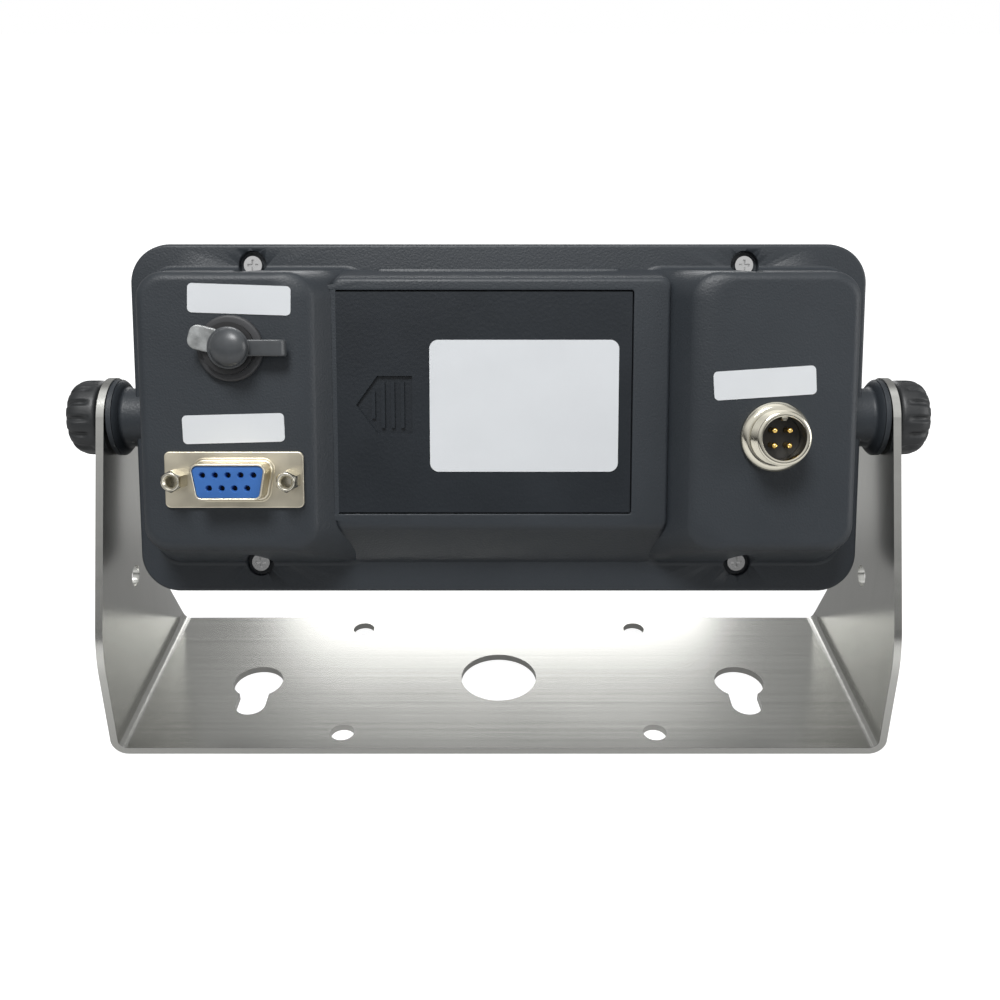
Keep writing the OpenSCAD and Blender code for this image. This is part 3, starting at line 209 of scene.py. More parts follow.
def ring_faces(rows, n, closed=True):
    """Quads of a grid of rows by n points that closes round its second direction."""
    i = np.arange(rows - 1)[:, None]
    j = np.arange(n if closed else n - 1)[None, :]
    k = (j + 1) % n
    return np.stack([i * n + j, i * n + k, (i + 1) * n + k, (i + 1) * n + j], axis=-1).reshape(-1, 4)


def loft(levels, cap_first=False, cap_last=False):
    """Skin through a list of closed point rows of equal length, with flat fans as caps."""
    n = len(levels[0])
    verts = np.concatenate(levels)
    faces = ring_faces(len(levels), n).tolist()
    for wanted, at in ((cap_first, 0), (cap_last, len(levels) - 1)):
        if wanted:
            verts = np.concatenate([verts, verts[at * n:(at + 1) * n].mean(axis=0)[None]])
            j = np.arange(n)
            k = (j + 1) % n
            tri = np.stack([at * n + j, at * n + k, np.full(n, len(verts) - 1)], axis=1)
            faces += (tri if at else tri[:, ::-1]).tolist()
    return verts, faces


def revolve(profile, steps, ripple=None):
    """Surface of revolution about X of a profile of (x, radius) in mm. ripple(angle, index)
    gives the radius' change in metres. A first or last radius of 0 closes the pole."""
    ang = np.linspace(0, 2 * math.pi, steps, endpoint=False)[None, :]
    x, r = ((np.array(column) * MM)[:, None] + 0 * ang for column in zip(*profile))
    if ripple is not None:
        r = r + ripple(ang, np.arange(len(profile))[:, None])
    verts = np.stack([x, r * np.cos(ang), r * np.sin(ang)], axis=-1).reshape(-1, 3)
    return verts, ring_faces(len(profile), steps).tolist()


def turned(profile, steps):
    """A surface of revolution whose axis runs along Y."""
    verts, faces = revolve(profile, steps)
    return verts[:, [1, 0, 2]], faces


def moved(part, x, z):
    """A part moved in X and Z, in metres."""
    return part[0] + np.array([x, 0.0, z]), part[1]


def mirrored(part):
    return part[0] * np.array([-1, 1, 1]), part[1]


def inside(points, loop):
    """Which points lie in a closed loop, by the even and odd count of edges to their right."""
    a, b = loop, np.roll(loop, -1, axis=0)
    x, z = points[:, None, 0], points[:, None, 1]
    spans = (a[None, :, 1] > z) != (b[None, :, 1] > z)
    rise = np.where(b[:, 1] == a[:, 1], 1e-12, b[:, 1] - a[:, 1])
    cross = a[None, :, 0] + (z - a[None, :, 1]) * ((b[:, 0] - a[:, 0]) / rise)[None]
    return (spans & (x < cross)).sum(axis=1) % 2 == 1


def drilled(outline, y, centres, radius, steps=28, cut=(), limit=0.98):
    """Flat fill of an outline at depth y with round holes and other cut loops, from a constrained
    triangulation. Triangles whose middle is nearer to a hole's centre than limit radii go."""
    loops = [outline] + [c + circle(steps) * radius for c in centres] + list(cut)
    starts = np.cumsum([0] + [len(q) for q in loops])
    edges = [(int(b + i), int(b + (i + 1) % len(q)))
             for b, q in zip(starts, loops) for i in range(len(q))]
    flat = [tuple(v / MM) for v in np.concatenate(loops)]
    pts, _, tris, _, _, _ = delaunay_2d_cdt(flat, edges, [], 1, 1e-7)
    pts = np.array([tuple(v) for v in pts]) * MM
    tris = np.array([q for q in tris if len(q) == 3])
    mid = pts[tris].mean(axis=1)
    clear = np.all(np.linalg.norm(mid[:, None, :] - centres[None], axis=2) > radius * limit, axis=1)
    for loop in cut:
        clear &= ~inside(mid, loop)
    return level(pts, y), tris[clear].tolist()


def piece(name, parts, look, body, replaced=(), crease=32.0, place=(0.0, 0.0, 0.0)):
    """Makes one object out of parts of the upright case, moved by a place in mm, with its place
    in its mesh. Merges doubled points, turns the faces outward and rides it on a body."""
    verts, faces, base = [], [], 0
    for v, f in parts:
        verts.append(v)
        faces += [[i + base for i in face] for face in f]
        base += len(v)
    verts = in_case(np.concatenate(verts) + np.array(place) * MM)
    mesh = bpy.data.meshes.new(name)
    mesh.from_pydata(verts.tolist(), [], faces)
    bm = bmesh.new()
    bm.from_mesh(mesh)
    bmesh.ops.remove_doubles(bm, verts=bm.verts, dist=2e-6)
    bmesh.ops.dissolve_degenerate(bm, edges=bm.edges, dist=1e-6)
    bmesh.ops.recalc_face_normals(bm, faces=bm.faces)
    bm.to_mesh(mesh)
    bm.free()
    mesh.shade_smooth()
    mesh.set_sharp_from_angle(angle=math.radians(crease))
    obj = bpy.data.objects.new(name, mesh)
    bpy.context.scene.collection.objects.link(obj)
    mesh.materials.append(finishes()[look])
    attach(obj, body)
    if replaced:
        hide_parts(*replaced)


# Helpers for shader nodes

def put(made, values):
    """Sets a node's inputs, by name or number."""
    for key, value in values.items():
        made.inputs[key].default_value = value
    return made


def node(tree, kind, values=None, operation=None):
    made = tree.nodes.new("ShaderNode" + kind)
    if operation:
        made.operation = operation
    return put(made, values or {})


def wire(tree, *rows):
    """Links, each as a node and its output, then a node and its input."""
    for source, out, target, into in rows:
        tree.links.new(source.outputs[out], target.inputs[into])


def span(tree, low, high, start, end):
    """Maps the range low to high onto start to end."""
    return node(tree, "MapRange", {"From Min": low, "From Max": high, "To Min": start, "To Max": end})


def group_of(name, inputs, outputs):
    """An empty node group with its two ends. Each input has its value, or None for coordinates."""
    group = bpy.data.node_groups.new(name, "ShaderNodeTree")
    for label, value in inputs.items():
        kind = "NodeSocketFloat" if isinstance(value, float) else "NodeSocketVector"
        sock = group.interface.new_socket(name=label, in_out="INPUT", socket_type=kind)
        if value is not None:
            sock.default_value = value
    for label in outputs:
        group.interface.new_socket(name=label, in_out="OUTPUT", socket_type="NodeSocketFloat")
    return group, group.nodes.new("NodeGroupInput"), group.nodes.new("NodeGroupOutput")


def grain_group():
    """Moulded grain: fine noise as height, and a broad noise as tone from 0 to 1."""
    name = "Moulded grain"
    if name in bpy.data.node_groups:
        return bpy.data.node_groups[name]
    g, gi, go = group_of(name, {"Vector": None, "Grain": 2600.0, "Patch": 45.0}, ("Height", "Tone"))
    fine = node(g, "TexNoise", {"Detail": 3.0})
    cell = node(g, "TexVoronoi")
    both = node(g, "Math", {1: 0.5}, "MULTIPLY_ADD")
    broad = node(g, "TexNoise", {"Detail": 4.0})
    wire(g, (gi, "Vector", fine, "Vector"), (gi, "Grain", fine, "Scale"),
         (gi, "Vector", cell, "Vector"), (gi, "Grain", cell, "Scale"),
         (cell, "Distance", both, 0), (fine, "Fac", both, 2),
         (gi, "Vector", broad, "Vector"), (gi, "Patch", broad, "Scale"),
         (both, 0, go, "Height"), (broad, "Fac", go, "Tone"))
    return g


def brush_group():
    """Brushed lines: noise squeezed across the brushing, long along it, plus a broad smudge."""
    name = "Brushed lines"
    if name in bpy.data.node_groups:
        return bpy.data.node_groups[name]
    g, gi, go = group_of(name, {"Vector": None, "Stretch": (18.0, 2400.0, 18.0), "Smudge size": 22.0},
                         ("Height", "Streak", "Smudge"))
    fine_map = node(g, "VectorMath", operation="MULTIPLY")
    fine = node(g, "TexNoise", {"Scale": 1.0, "Detail": 4.0})
    wide_map = node(g, "VectorMath", {"Scale": 0.22}, "SCALE")
    wide = node(g, "TexNoise", {"Scale": 1.0, "Detail": 3.0})
    smudge = node(g, "TexNoise", {"Detail": 3.0})
    wire(g, (gi, "Vector", fine_map, 0), (gi, "Stretch", fine_map, 1), (fine_map, 0, fine, "Vector"),
         (fine_map, 0, wide_map, 0), (wide_map, 0, wide, "Vector"),
         (gi, "Vector", smudge, "Vector"), (gi, "Smudge size", smudge, "Scale"),
         (fine, "Fac", go, "Height"), (wide, "Fac", go, "Streak"), (smudge, "Fac", go, "Smudge"))
    return g


def start_material(name, values):
    """A material, its tree, its shader with values set, and the object's coordinates."""
    mat = bpy.data.materials.new(name)
    mat.use_nodes = True
    tree = mat.node_tree
    shader = next(n for n in tree.nodes if n.type == "BSDF_PRINCIPLED")
    return mat, tree, put(shader, values), node(tree, "TexCoord")


def effect(tree, group, place, values):
    """A shared effect in a material."""
    fx = node(tree, "Group")
    fx.node_tree = group
    wire(tree, (place, "Object", fx, "Vector"))
    return put(fx, values)


# The middle of a noise's range, where its values lie
MIDDLE = (0.3, 0.7)


def shades(tree, factor, low, high, target):
    """A blend between two colours by a factor from the middle of its range."""
    ramp = node(tree, "ValToRGB")
    for i, colour in enumerate((low, high)):
        stop = ramp.color_ramp.elements[i]
        stop.position = MIDDLE[i]
        stop.color = (*colour, 1.0)
    tree.links.new(factor, ramp.inputs["Fac"])
    tree.links.new(ramp.outputs["Color"], target)


def spread(tree, factor, low, high, target):
    """A value between two others by such a factor."""
    made = span(tree, *MIDDLE, low, high)
    tree.links.new(factor, made.inputs["Value"])
    tree.links.new(made.outputs["Result"], target)


def bumped(tree, height, strength, distance, shader):
    bump = node(tree, "Bump", {"Strength": strength, "Distance": distance})
    tree.links.new(height, bump.inputs["Height"])
    wire(tree, (bump, "Normal", shader, "Normal"))


def scaled(colour, k):
    return tuple(min(1.0, c * k) for c in colour)


def moulded(name, colour, rough, grain, depth, strength, patch, tone, coat=0.0, specular=0.5):
    """Plastic, rubber or paper: grain as bump, a slow change of tone and of roughness."""
    mat, tree, shader, place = start_material(
        name, {"Coat Weight": coat, "Coat Roughness": 0.15, "Specular IOR Level": specular})
    fx = effect(tree, grain_group(), place, {"Grain": grain, "Patch": patch})
    shades(tree, fx.outputs["Tone"], scaled(colour, 1 - tone), scaled(colour, 1 + tone),
           shader.inputs["Base Color"])
    spread(tree, fx.outputs["Tone"], rough - 0.04, rough + 0.04, shader.inputs["Roughness"])
    bumped(tree, fx.outputs["Height"], strength, depth, shader)
    return mat


def brushed(name, colour, rough, stretch, depth=2e-5, strength=0.25, tone=0.10, smudge=22.0, uneven=0.07):
    """Metal with brushed or turned lines, their tone and faint smudges."""
    mat, tree, shader, place = start_material(name, {"Metallic": 1.0})
    fx = effect(tree, brush_group(), place, {"Stretch": stretch, "Smudge size": smudge})
    shades(tree, fx.outputs["Streak"], scaled(colour, 1 - tone), scaled(colour, 1 + tone),
           shader.inputs["Base Color"])
    mix = node(tree, "Math", {1: 0.5}, "MULTIPLY_ADD")
    half = node(tree, "Math", {1: 0.5}, "MULTIPLY")
    wire(tree, (fx, "Smudge", half, 0), (fx, "Streak", mix, 0), (half, 0, mix, 2))
    spread(tree, mix.outputs[0], rough - uneven, rough + uneven, shader.inputs["Roughness"])
    bumped(tree, fx.outputs["Height"], strength, depth, shader)
    return mat


def clear_window(name, low, high):
    """Filter glass in front of the display, with faint smudges in its gloss."""
    mat, tree, shader, place = start_material(name, {"Transmission Weight": 1.0, "IOR": 1.3})
    fx = effect(tree, grain_group(), place, {})
    shades(tree, fx.outputs["Tone"], low, high, shader.inputs["Base Color"])
    spread(tree, fx.outputs["Tone"], 0.03, 0.07, shader.inputs["Roughness"])
    return mat


def segment(name, colour, strength):
    """A display segment that glows by its strength. For the dark segments the small strength is a painted
    glow, since an unlit segment gives no light.
    """
    mat, tree, shader, place = start_material(
        name, {"Base Color": (*scaled(colour, 0.4), 1.0), "Emission Strength": strength, "Roughness": 0.4})
    noise = node(tree, "TexNoise", {"Scale": 900.0})
    wire(tree, (place, "Object", noise, "Vector"))
    shades(tree, noise.outputs["Fac"], scaled(colour, 0.9), colour, shader.inputs["Emission Color"])
    return mat


def board_finish(name, mask, other, traces):
    """Solder mask of two shades with lighter traces, from a brick pattern."""
    mat, tree, shader, place = start_material(name, {"Roughness": 0.35})
    brick = node(tree, "TexBrick", {"Scale": 120.0, "Mortar Size": 0.06, "Color1": (*mask, 1.0),
                                    "Color2": (*other, 1.0), "Mortar": (*traces, 1.0)})
    wire(tree, (place, "Object", brick, "Vector"), (brick, "Color", shader, "Base Color"))
    bumped(tree, brick.outputs["Fac"], 0.3, 3e-5, shader)
    return mat


# By name: the material, its maker and its colour, or the name of the setting with it. Then for
# a moulded one the roughness, grain per metre, depth and strength of the bump, patches per
# metre, change of tone, coat and specular level, and for a brushed one the roughness, stretch
# of the lines, depth and strength of the bump, change of tone, smudges per metre and change
# of roughness.
FINISHES = {
    "case": ("Charcoal case", moulded, "case", 0.46, 2000.0, 7e-5, 0.7, 40.0, 0.06, 0.0, 0.36),
    "door": ("Door plastic", moulded, "door", 0.38, 1300.0, 6e-5, 0.6, 60.0, 0.08, 0.0, 0.36),
    "knob": ("Knob plastic", moulded, "knob", 0.46, 1400.0, 5e-5, 0.5, 60.0, 0.12),
    "steel": ("Brushed stainless", brushed, "steel", 0.22, (12.0, 3400.0, 12.0), 1e-5, 0.16, 0.035,
              22.0, 0.03),
    "fastener": ("Plated fastener", brushed, (0.62,) * 3, 0.24, (500.0,) * 3, 2e-5, 0.25, 0.06),
    "tin": ("Tinned flange", brushed, "tin", 0.34, (600.0, 160.0, 600.0), 2e-5, 0.3, 0.16, 260.0),
    "post": ("Plated post", brushed, (0.62, 0.59, 0.50), 0.22, (300.0, 90.0, 300.0), 1e-5, 0.2, 0.12,
             300.0),
    "nickel": ("Plated nickel", brushed, "nickel", 0.15, (60.0, 900.0, 60.0), 1e-5, 0.15, 0.07, 300.0),
    "brass": ("Turned brass", brushed, (0.72, 0.46, 0.16), 0.28, (900.0, 60.0, 60.0)),
    "gold": ("Gold contact", brushed, (0.85, 0.6, 0.2), 0.2, (300.0, 60.0, 300.0)),
    "label": ("Label film", moulded, "label", 0.42, 5200.0, 1e-5, 0.2, 90.0, 0.015),
    "blue": ("Blue insulator", moulded, "blue", 0.34, 3600.0, 1e-5, 0.2, 180.0, 0.08),
    "black": ("Black insulator", moulded, (0.012, 0.012, 0.013), 0.4, 3000.0, 2e-5, 0.25, 120.0, 0.12),
    "rubber": ("Black rubber", moulded, "rubber", 0.55, 3000.0, 3e-5, 0.35, 90.0, 0.14),
    "cap": ("Cap rubber", moulded, (0.06, 0.065, 0.07), 0.33, 2600.0, 3e-5, 0.3, 220.0, 0.14),
    # The pull tab is the same rubber as the cap. Its much lighter colour and strong patchy tone are a
    # painted sheen of the key lamp.
    "tab": ("Worn tab rubber", moulded, (0.30, 0.31, 0.31), 0.26, 1500.0, 6e-5, 0.7, 420.0, 0.35),
    "silicone": ("Grey silicone", moulded, (0.3, 0.3, 0.31), 0.6, 2200.0, 3e-5, 0.3, 80.0, 0.06),
    "film": ("Front film", moulded, "film", 0.42, 3200.0, 2e-5, 0.35, 30.0, 0.06, 0.15),
    "key": ("Key plastic", moulded, (0.36, 0.37, 0.39), 0.45, 3400.0, 2e-5, 0.3, 120.0, 0.05),
    "key_print": ("Key print", moulded, (0.02, 0.022, 0.03), 0.5, 4000.0, 1e-5, 0.2, 200.0, 0.05),
    "frame_print": ("Printed frame", moulded, (0.30, 0.33, 0.38), 0.45, 4200.0, 1e-5, 0.2, 90.0, 0.04),
    "cell": ("Cell sleeve", moulded, (0.05, 0.11, 0.075), 0.3, 900.0, 1e-5, 0.1, 70.0, 0.1, 0.3),
    "red_lead": ("Red lead", moulded, (0.42, 0.02, 0.015), 0.4, 2000.0, 1e-5, 0.2, 200.0, 0.08),
    "green_lead": ("Green lead", moulded, (0.03, 0.2, 0.06), 0.4, 2000.0, 1e-5, 0.2, 200.0, 0.08),
    "ribbon": ("Ribbon sleeve", moulded, (0.45, 0.45, 0.46), 0.5, 1500.0, 2e-5, 0.3, 300.0, 0.08),
    "ivory": ("Ivory plastic", moulded, (0.6, 0.56, 0.44), 0.5, 2600.0, 2e-5, 0.25, 120.0, 0.06),
    "glass": ("Window glass", clear_window, (0.42, 0.035, 0.03), (0.46, 0.04, 0.033)),
    "lit": ("Lit segment", segment, "lit", 1.6),
    # Segments that are off glow faintly dark red: a painted glow.
    "unlit": ("Dark segment", segment, (0.10, 0.012, 0.010), 0.15),
    "board": ("Solder mask", board_finish, (0.01, 0.085, 0.03), (0.012, 0.1, 0.035), (0.03, 0.2, 0.07)),
}

# The nodes of the frame that have each finish
NODES_WITH = {
    "steel": "bracket",
    "case": "rear_shell front_shell hinge_friction_washers",
    "rubber": "case_gasket jack_cap_ring",
    "fastener": "case_screws clamp_washer_left clamp_washer_right knob_stud_left knob_stud_right"
                " battery_springs battery_contacts serial_nuts power_jack_pin board_screws",
    "brass": "hinge_inserts",
    "knob": "knob_left knob_right",
    "door": "battery_door",
    "cell": "battery_cells",
    "red_lead": "battery_leads power_leads",
    "label": "rating_label power_label serial_label sensor_label",
    "tin": "serial_flange",
    "blue": "serial_insulator",
    "black": "serial_sockets sensor_insulator power_jack power_jack_nut display_module board_chips buzzer",
    "nickel": "serial_jack_screws sensor_shell sensor_pins sensor_nut",
    "ribbon": "serial_ribbon",
    "green_lead": "sensor_leads",
    "cap": "jack_cap",
    "glass": "display_window",
    "film": "front_overlay",
    "silicone": "key_mat",
    "key": "key_1 key_2 key_3 key_4 key_5 key_6",
    "lit": "display_digits",
    "board": "main_board",
    "ivory": "board_headers",
}
NODE_FINISH = {name: look for look, names in NODES_WITH.items() for name in names.split()}


def finishes():
    """Every finish by name, made on first use."""
    colours, looks = settings("indicator_colours"), {}
    for look, (label, make, colour, *rest) in FINISHES.items():
        if isinstance(colour, str):
            colour = tuple(getattr(colours, colour))
        looks[look] = bpy.data.materials.get(label) or make(label, colour, *rest)
    return looks


class INDICATOR_OT_finishes(bpy.types.Operator):
    """Gives every node of the frame its finish"""
    bl_idname = "indicator.finishes"
    bl_label = "Finishes"

    def execute(self, context):
        looks = finishes()
        missing = set(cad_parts) - set(NODE_FINISH)
        if missing:
            raise RuntimeError(f"no finish for {sorted(missing)}")
        for name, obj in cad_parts.items():
            obj.data.materials.clear()
            obj.data.materials.append(looks[NODE_FINISH[name]])
        return {"FINISHED"}


# Rear cover

def notch(points):
    """Carves the four screw recesses out of the pods' walls: a point inside a recess' circle
    moves along Z onto the circle about the screw."""
    p = points.copy()
    dx = np.abs(np.abs(p[:, 0]) - SCREW_X * MM)
    reach = np.sqrt(np.maximum((RECESS_R * MM) ** 2 - dx ** 2, 0.0))
    near = (dx < RECESS_R * MM) & (p[:, 1] > (RECESS_Y - 0.1) * MM)
    high, low = SCREW_TOP_Z * MM - reach, SCREW_LOW_Z * MM + reach
    p[:, 2] = np.where(near & (p[:, 2] > high), high, p[:, 2])
    p[:, 2] = np.where(near & (p[:, 2] < low), low, p[:, 2])
    return p


def slotted(points):
    """Moves the points of a pod's inner wall beside the door back to the end of the pocket that
    the door slides into, and draws the points near the pocket's two ends onto those ends."""
    k = DOOR_SLOT
    p = points.copy()
    z = p[:, 2] / MM
    inner = p[:, 0] < k["wall"] * MM
    deep = inner & (z > k["low"]) & (z < k["high"])
    for end in (k["low"], k["high"]):
        p[:, 2] = np.where(inner & (np.abs(z - end) < k["near"]), end * MM, p[:, 2])
    p[:, 0] = np.where(deep, k["end"] * MM, p[:, 0])
    return p


def pod_skin(shift, pocket=False):
    """A pod: its outline at the foot blends in a straight line to the one at the top, with a
    quarter round of the pod rounding at the top edge, a quarter ellipse along the inner edge,
    and a small fillet at the foot."""
    s = settings("indicator_case")
    foot = np.array([30.1 + shift, 81.4, -34.5, 34.5])
    run = (np.array([41.8 + shift, 79.4, -29.0, 32.2]) - foot) / POD_RISE
    r, fillet, wide = s.pod_round / MM, s.foot_fillet / MM, (s.pod_soft - s.pod_round) / MM

    def at(rise, y, inset=0.0, soft=0.0):
        edge = foot + run * rise + np.array([soft, 0.0, 0.0, 0.0])
        return row(edge, y, 6.0 - inset * 0.6, inset, (150, 60, 14))

    rows = [at(k * 1.2, RIM_TOP + k * 1.2 - 0.02, -fillet * out)
            for k, out in ((0.0, 1.0), (0.12, 0.62), (0.3, 0.34), (0.6, 0.1), (1.0, 0.0))]
    floor, roof = DOOR_SLOT["floor"] - RIM_TOP, DOOR_SLOT["roof"] - RIM_TOP
    rises = [(a, False) for a in np.linspace(2.0, POD_RISE - r, 6) if not floor <= a <= roof]
    rises += [(floor, False), (floor + 1e-4, True), (roof - 1e-4, True), (roof, False)]
    for rise, carved in sorted(rises):
        made = at(rise, RIM_TOP + rise)
        rows.append(slotted(made) if carved and pocket else made)
    for a in quarter(13):
        drop, inset = r - r * math.sin(a), 1 - math.cos(a)
        rows.append(at(POD_RISE - drop, POD_TOP - drop, r * inset, wide * inset))
    rows.append(at(POD_RISE, POD_TOP, r + 0.5, wide))
    return loft([notch(made) for made in rows], cap_last=True)


def block_skin():
    """The centre block: sloping walls, a small round at the top edge, a flat frame round the
    door and the door's recess, which runs on into the left pod's pocket."""
    foot = np.array([-38.7, 37.4, -34.5, 34.5])
    run = (np.array([-38.7, 37.4, -24.6, 31.5]) - foot) / BLOCK_RISE
    counts = (40, 30, 6)
    r = settings("indicator_case").block_round / MM
    rows = [row(foot + run * rise, RIM_TOP + rise, 2.0, 0.0, counts)
            for rise in (-0.05, 0.6, 2.5, 5.0, 7.5, BLOCK_RISE - r)]
    for a in quarter(7):
        drop, inset = r - r * math.sin(a), r * (1 - math.cos(a))
        rows.append(row(foot + run * (BLOCK_RISE - drop), BLOCK_TOP - drop, 2.0, inset, counts))
    rim = (-30.35, DOOR_SLOT["end"], DOOR_SLOT["low"], DOOR_SLOT["high"])
    lip = 0.22
    for out, corner, drop in ((2.0, 1.0, 0.0), (1.0, 0.8, 0.0), (0.3, 0.7, 0.3), (0.0, 0.6, 1.0)):
        made = row(rim, BLOCK_TOP - lip * drop, corner, -lip * out, counts)
        beyond = made[:, 0] > DOOR_SLOT["block"] * MM
        made[:, 1] = np.where(beyond, (DOOR_SLOT["roof"] - 0.02) * MM, made[:, 1])
        rows.append(made)
    rows.append(row(rim, 12.9, 0.6, 0.0, counts))
    return loft(rows, cap_last=True)


def rim_skin():
    """The rear rim: a side wall with a quarter round, a flat top with four round recesses, and
    the low ridge above the centre block."""
    counts = (40, 20, 20)
    r = settings("indicator_case").rim_round / MM
    rows = [row(RIM_EDGE, y, corner, inset, counts) for y, corner, inset in
            ((2.02, 7.6, 1.6), (2.02, CORNER, 0.0), (RIM_TOP - r, CORNER, 0.0))]
    for a in quarter(7):
        inset = r * (1 - math.cos(a))
        rows.append(row(RIM_EDGE, RIM_TOP - r + r * math.sin(a), CORNER - inset, inset, counts))
    border = row(RIM_EDGE, RIM_TOP, CORNER - r, r, counts)[:, [0, 2]]
    centres = np.array([(a, b) for a in (-SCREW_X, SCREW_X) for b in (SCREW_LOW_Z, SCREW_TOP_Z)]) * MM
    mouth = RECESS_R + 0.12
    top = drilled(border, RIM_TOP, centres, mouth * MM, 48, limit=(mouth - 0.02) / mouth)
    cup = turned([(RIM_TOP, mouth), (4.95, 3.24), (4.85, RECESS_R), (3.12, RECESS_R), (3.03, 3.1),
                  (RECESS_Y, 2.9), (RECESS_Y, 1.4), (RECESS_Y, 0.0)], 48)
    ridge = [row((-28.0 - grow, 28.0 + grow, 32.0, 34.5 + grow), y, 0.8, 0.0, (12, 4, 5))
             for y, grow in ((4.9, 0.0), (6.9, 0.0), (7.3, -0.15), (7.5, -0.5))]
    return [loft(rows), top, loft(ridge, cap_last=True)] + [moved(cup, *c) for c in centres]


class INDICATOR_OT_rear_cover(bpy.types.Operator):
    """Rear cover with its pods, centre block, rim and screw recesses"""
    bl_idname = "indicator.rear_cover"
    bl_label = "Rear cover"

    def execute(self, context):
        parts = [pod_skin(0.0, pocket=True), mirrored(pod_skin(2.0)), block_skin()] + rim_skin()
        piece("rear_cover", parts, "case", "case", ["rear_shell"], 34.0)
        return {"FINISHED"}


# Front cover

class INDICATOR_OT_front_cover(bpy.types.Operator):
    """Front cover with its rounded edge, film recess, window opening and hinge bosses"""
    bl_idname = "indicator.front_cover"
    bl_label = "Front cover"

    def execute(self, context):
        s = settings("indicator_case")
        counts = (60, 30, 16)
        r, f = s.front_round / MM, s.boss_fillet / MM
        rows = [row(FRONT_EDGE, y, CORNER - inset, inset, counts) for y, inset in
                ((1.2, 2.2), (1.95, 2.0), (1.98, 0.3), (1.7, 0.0), (FRONT_Y + r, 0.0))]
        for a in quarter(9):
            inset = r * (1 - math.cos(a))
            rows.append(row(FRONT_EDGE, FRONT_Y + r - r * math.sin(a), CORNER - inset * 0.5, inset, counts))
        rows += [row(edge, y, corner, inset, counts) for edge, y, corner, inset in
                 ((FILM_EDGE, FRONT_Y, 5.3, -0.35), (FILM_EDGE, -19.85, 5.15, -0.15),
                  (FILM_EDGE, -19.5, 5.15, -0.15), (WINDOW_EDGE, -19.48, 2.0, 0.0),
                  (WINDOW_EDGE, -17.8, 2.0, 0.0))]
        profile = [(80.4, 7.0), (84.0, 7.0)]
        profile += [(88.0 + f * math.sin(a), 7.0 + f * (1 - math.cos(a)) * 0.8)
                    for a in np.linspace(0.0, QUARTER, 7)]
        profile += [(89.9, 8.85), (90.1, 9.0), (90.2, 8.9), (90.2, 3.9), (90.1, 3.72), (87.0, 3.72)]
        boss = revolve(profile, 72)
        piece("front_cover", [loft(rows), boss, mirrored(boss)], "case", "case",
              ["front_shell"], 34.0)
        return {"FINISHED"}


# Knobs

class INDICATOR_OT_knobs(bpy.types.Operator):
    """Two clamp knobs with rounded lobes"""
    bl_idname = "indicator.knobs"
    bl_label = "Clamp knobs"

    def execute(self, context):
        p = settings("indicator_pieces")
        profile = [(94.94, 0.0), (94.94, 6.3), (94.8, 6.6), (94.2, 6.6), (94.05, 6.75), (94.03, 7.0),
                   (94.05, 7.9), (94.2, 8.4), (94.5, 8.72), (95.0, 8.86), (95.8, 8.9), (96.8, 8.9),
                   (97.8, 8.9), (98.6, 8.85), (99.4, 8.68), (100.1, 8.38), (100.7, 7.95), (101.2, 7.4),
                   (101.55, 6.8), (101.8, 6.1), (101.93, 5.3), (101.98, 4.6), (102.0, 4.2),
                   (101.94, 4.0), (101.82, 3.9), (101.78, 3.5), (101.78, 0.0)]
        x, r = np.array(profile).T
        weight = (np.clip((x - 95.9) / 0.8, 0.0, 1.0) * np.clip((r - 5.6) / 1.8, 0.0, 1.0))[:, None]

        def lobes(angle, index):
            """Narrow hollows between wide lands: a bell curve of the angle from the nearest
            hollow, that fades out at the collar and at the domed end."""
            away = (angle / (2 * math.pi / p.knob_lobes) + 0.5) % 1.0 - 0.5
            return -p.knob_lobe_depth * weight[index[:, 0]] * np.exp(-(away / 0.17) ** 4)

        grip = revolve(profile, p.knob_lobes * 16, lobes)
        for side, part in (("left", grip), ("right", mirrored(grip))):
            knob = f"knob_{side}"
            piece(f"knob_grip_{side}", [part], "knob", knob, [knob], 40.0)
        return {"FINISHED"}


# Load-cell connector

class INDICATOR_OT_sensor_connector(bpy.types.Operator):
    """Round connector with its bevelled shoulder, threaded barrel, key rib and pins"""
    bl_idname = "indicator.sensor_connector"
    bl_label = "Load-cell connector"

    def execute(self, context):
        p = settings("indicator_pieces")
        profile = [(20.9, 7.4), (21.0, 7.62), (21.1, 7.7), (21.9, 7.7), (22.1, 7.62), (22.9, 6.75),
                   (23.0, 6.5), (23.0, 6.05), (23.05, 5.72)]
        pitch, root, start, end = p.thread_pitch / MM, 5.98 - p.thread_depth / MM, 23.3, 28.6
        for i in range(int((end - start) / pitch)):
            profile += [(start + (i + share) * pitch, r)
                        for share, r in ((0.0, root), (0.3, 5.96), (0.5, 5.98), (0.8, root))]
        profile += [(end, 5.74), (28.8, 5.7), (28.95, 5.5), (29.0, 5.25), (29.0, 4.95), (28.93, 4.76),
                    (28.8, 4.7), (24.2, 4.7), (24.0, 4.7)]
        rib = [row((-0.75 - grow, 0.75 + grow, 3.75 - grow, 4.9), y, 0.6, 0.0, (4, 4, 6))
               for y, grow in ((23.95, 0.0), (28.2, 0.0), (28.45, -0.12), (28.5, -0.3))]
        piece("sensor_barrel", [turned(profile, 96), loft(rib, cap_last=True)], "nickel", "case",
              ["sensor_shell"], 30.0, SENSOR_AT)
        r, tip, ring = 0.62, 27.5, 2.3 * MM / math.sqrt(2)
        pin = turned([(22.0, r), (tip - r, r)]
                     + [(tip - r + r * math.sin(a), r * math.cos(a)) for a in quarter(7)], 24)
        pins = [moved(pin, sx * ring, sz * ring) for sx in (-1, 1) for sz in (-1, 1)]
        piece("pin_tips", pins, "gold", "case", ["sensor_pins"], 40.0, SENSOR_AT)
        return {"FINISHED"}


# Serial connector

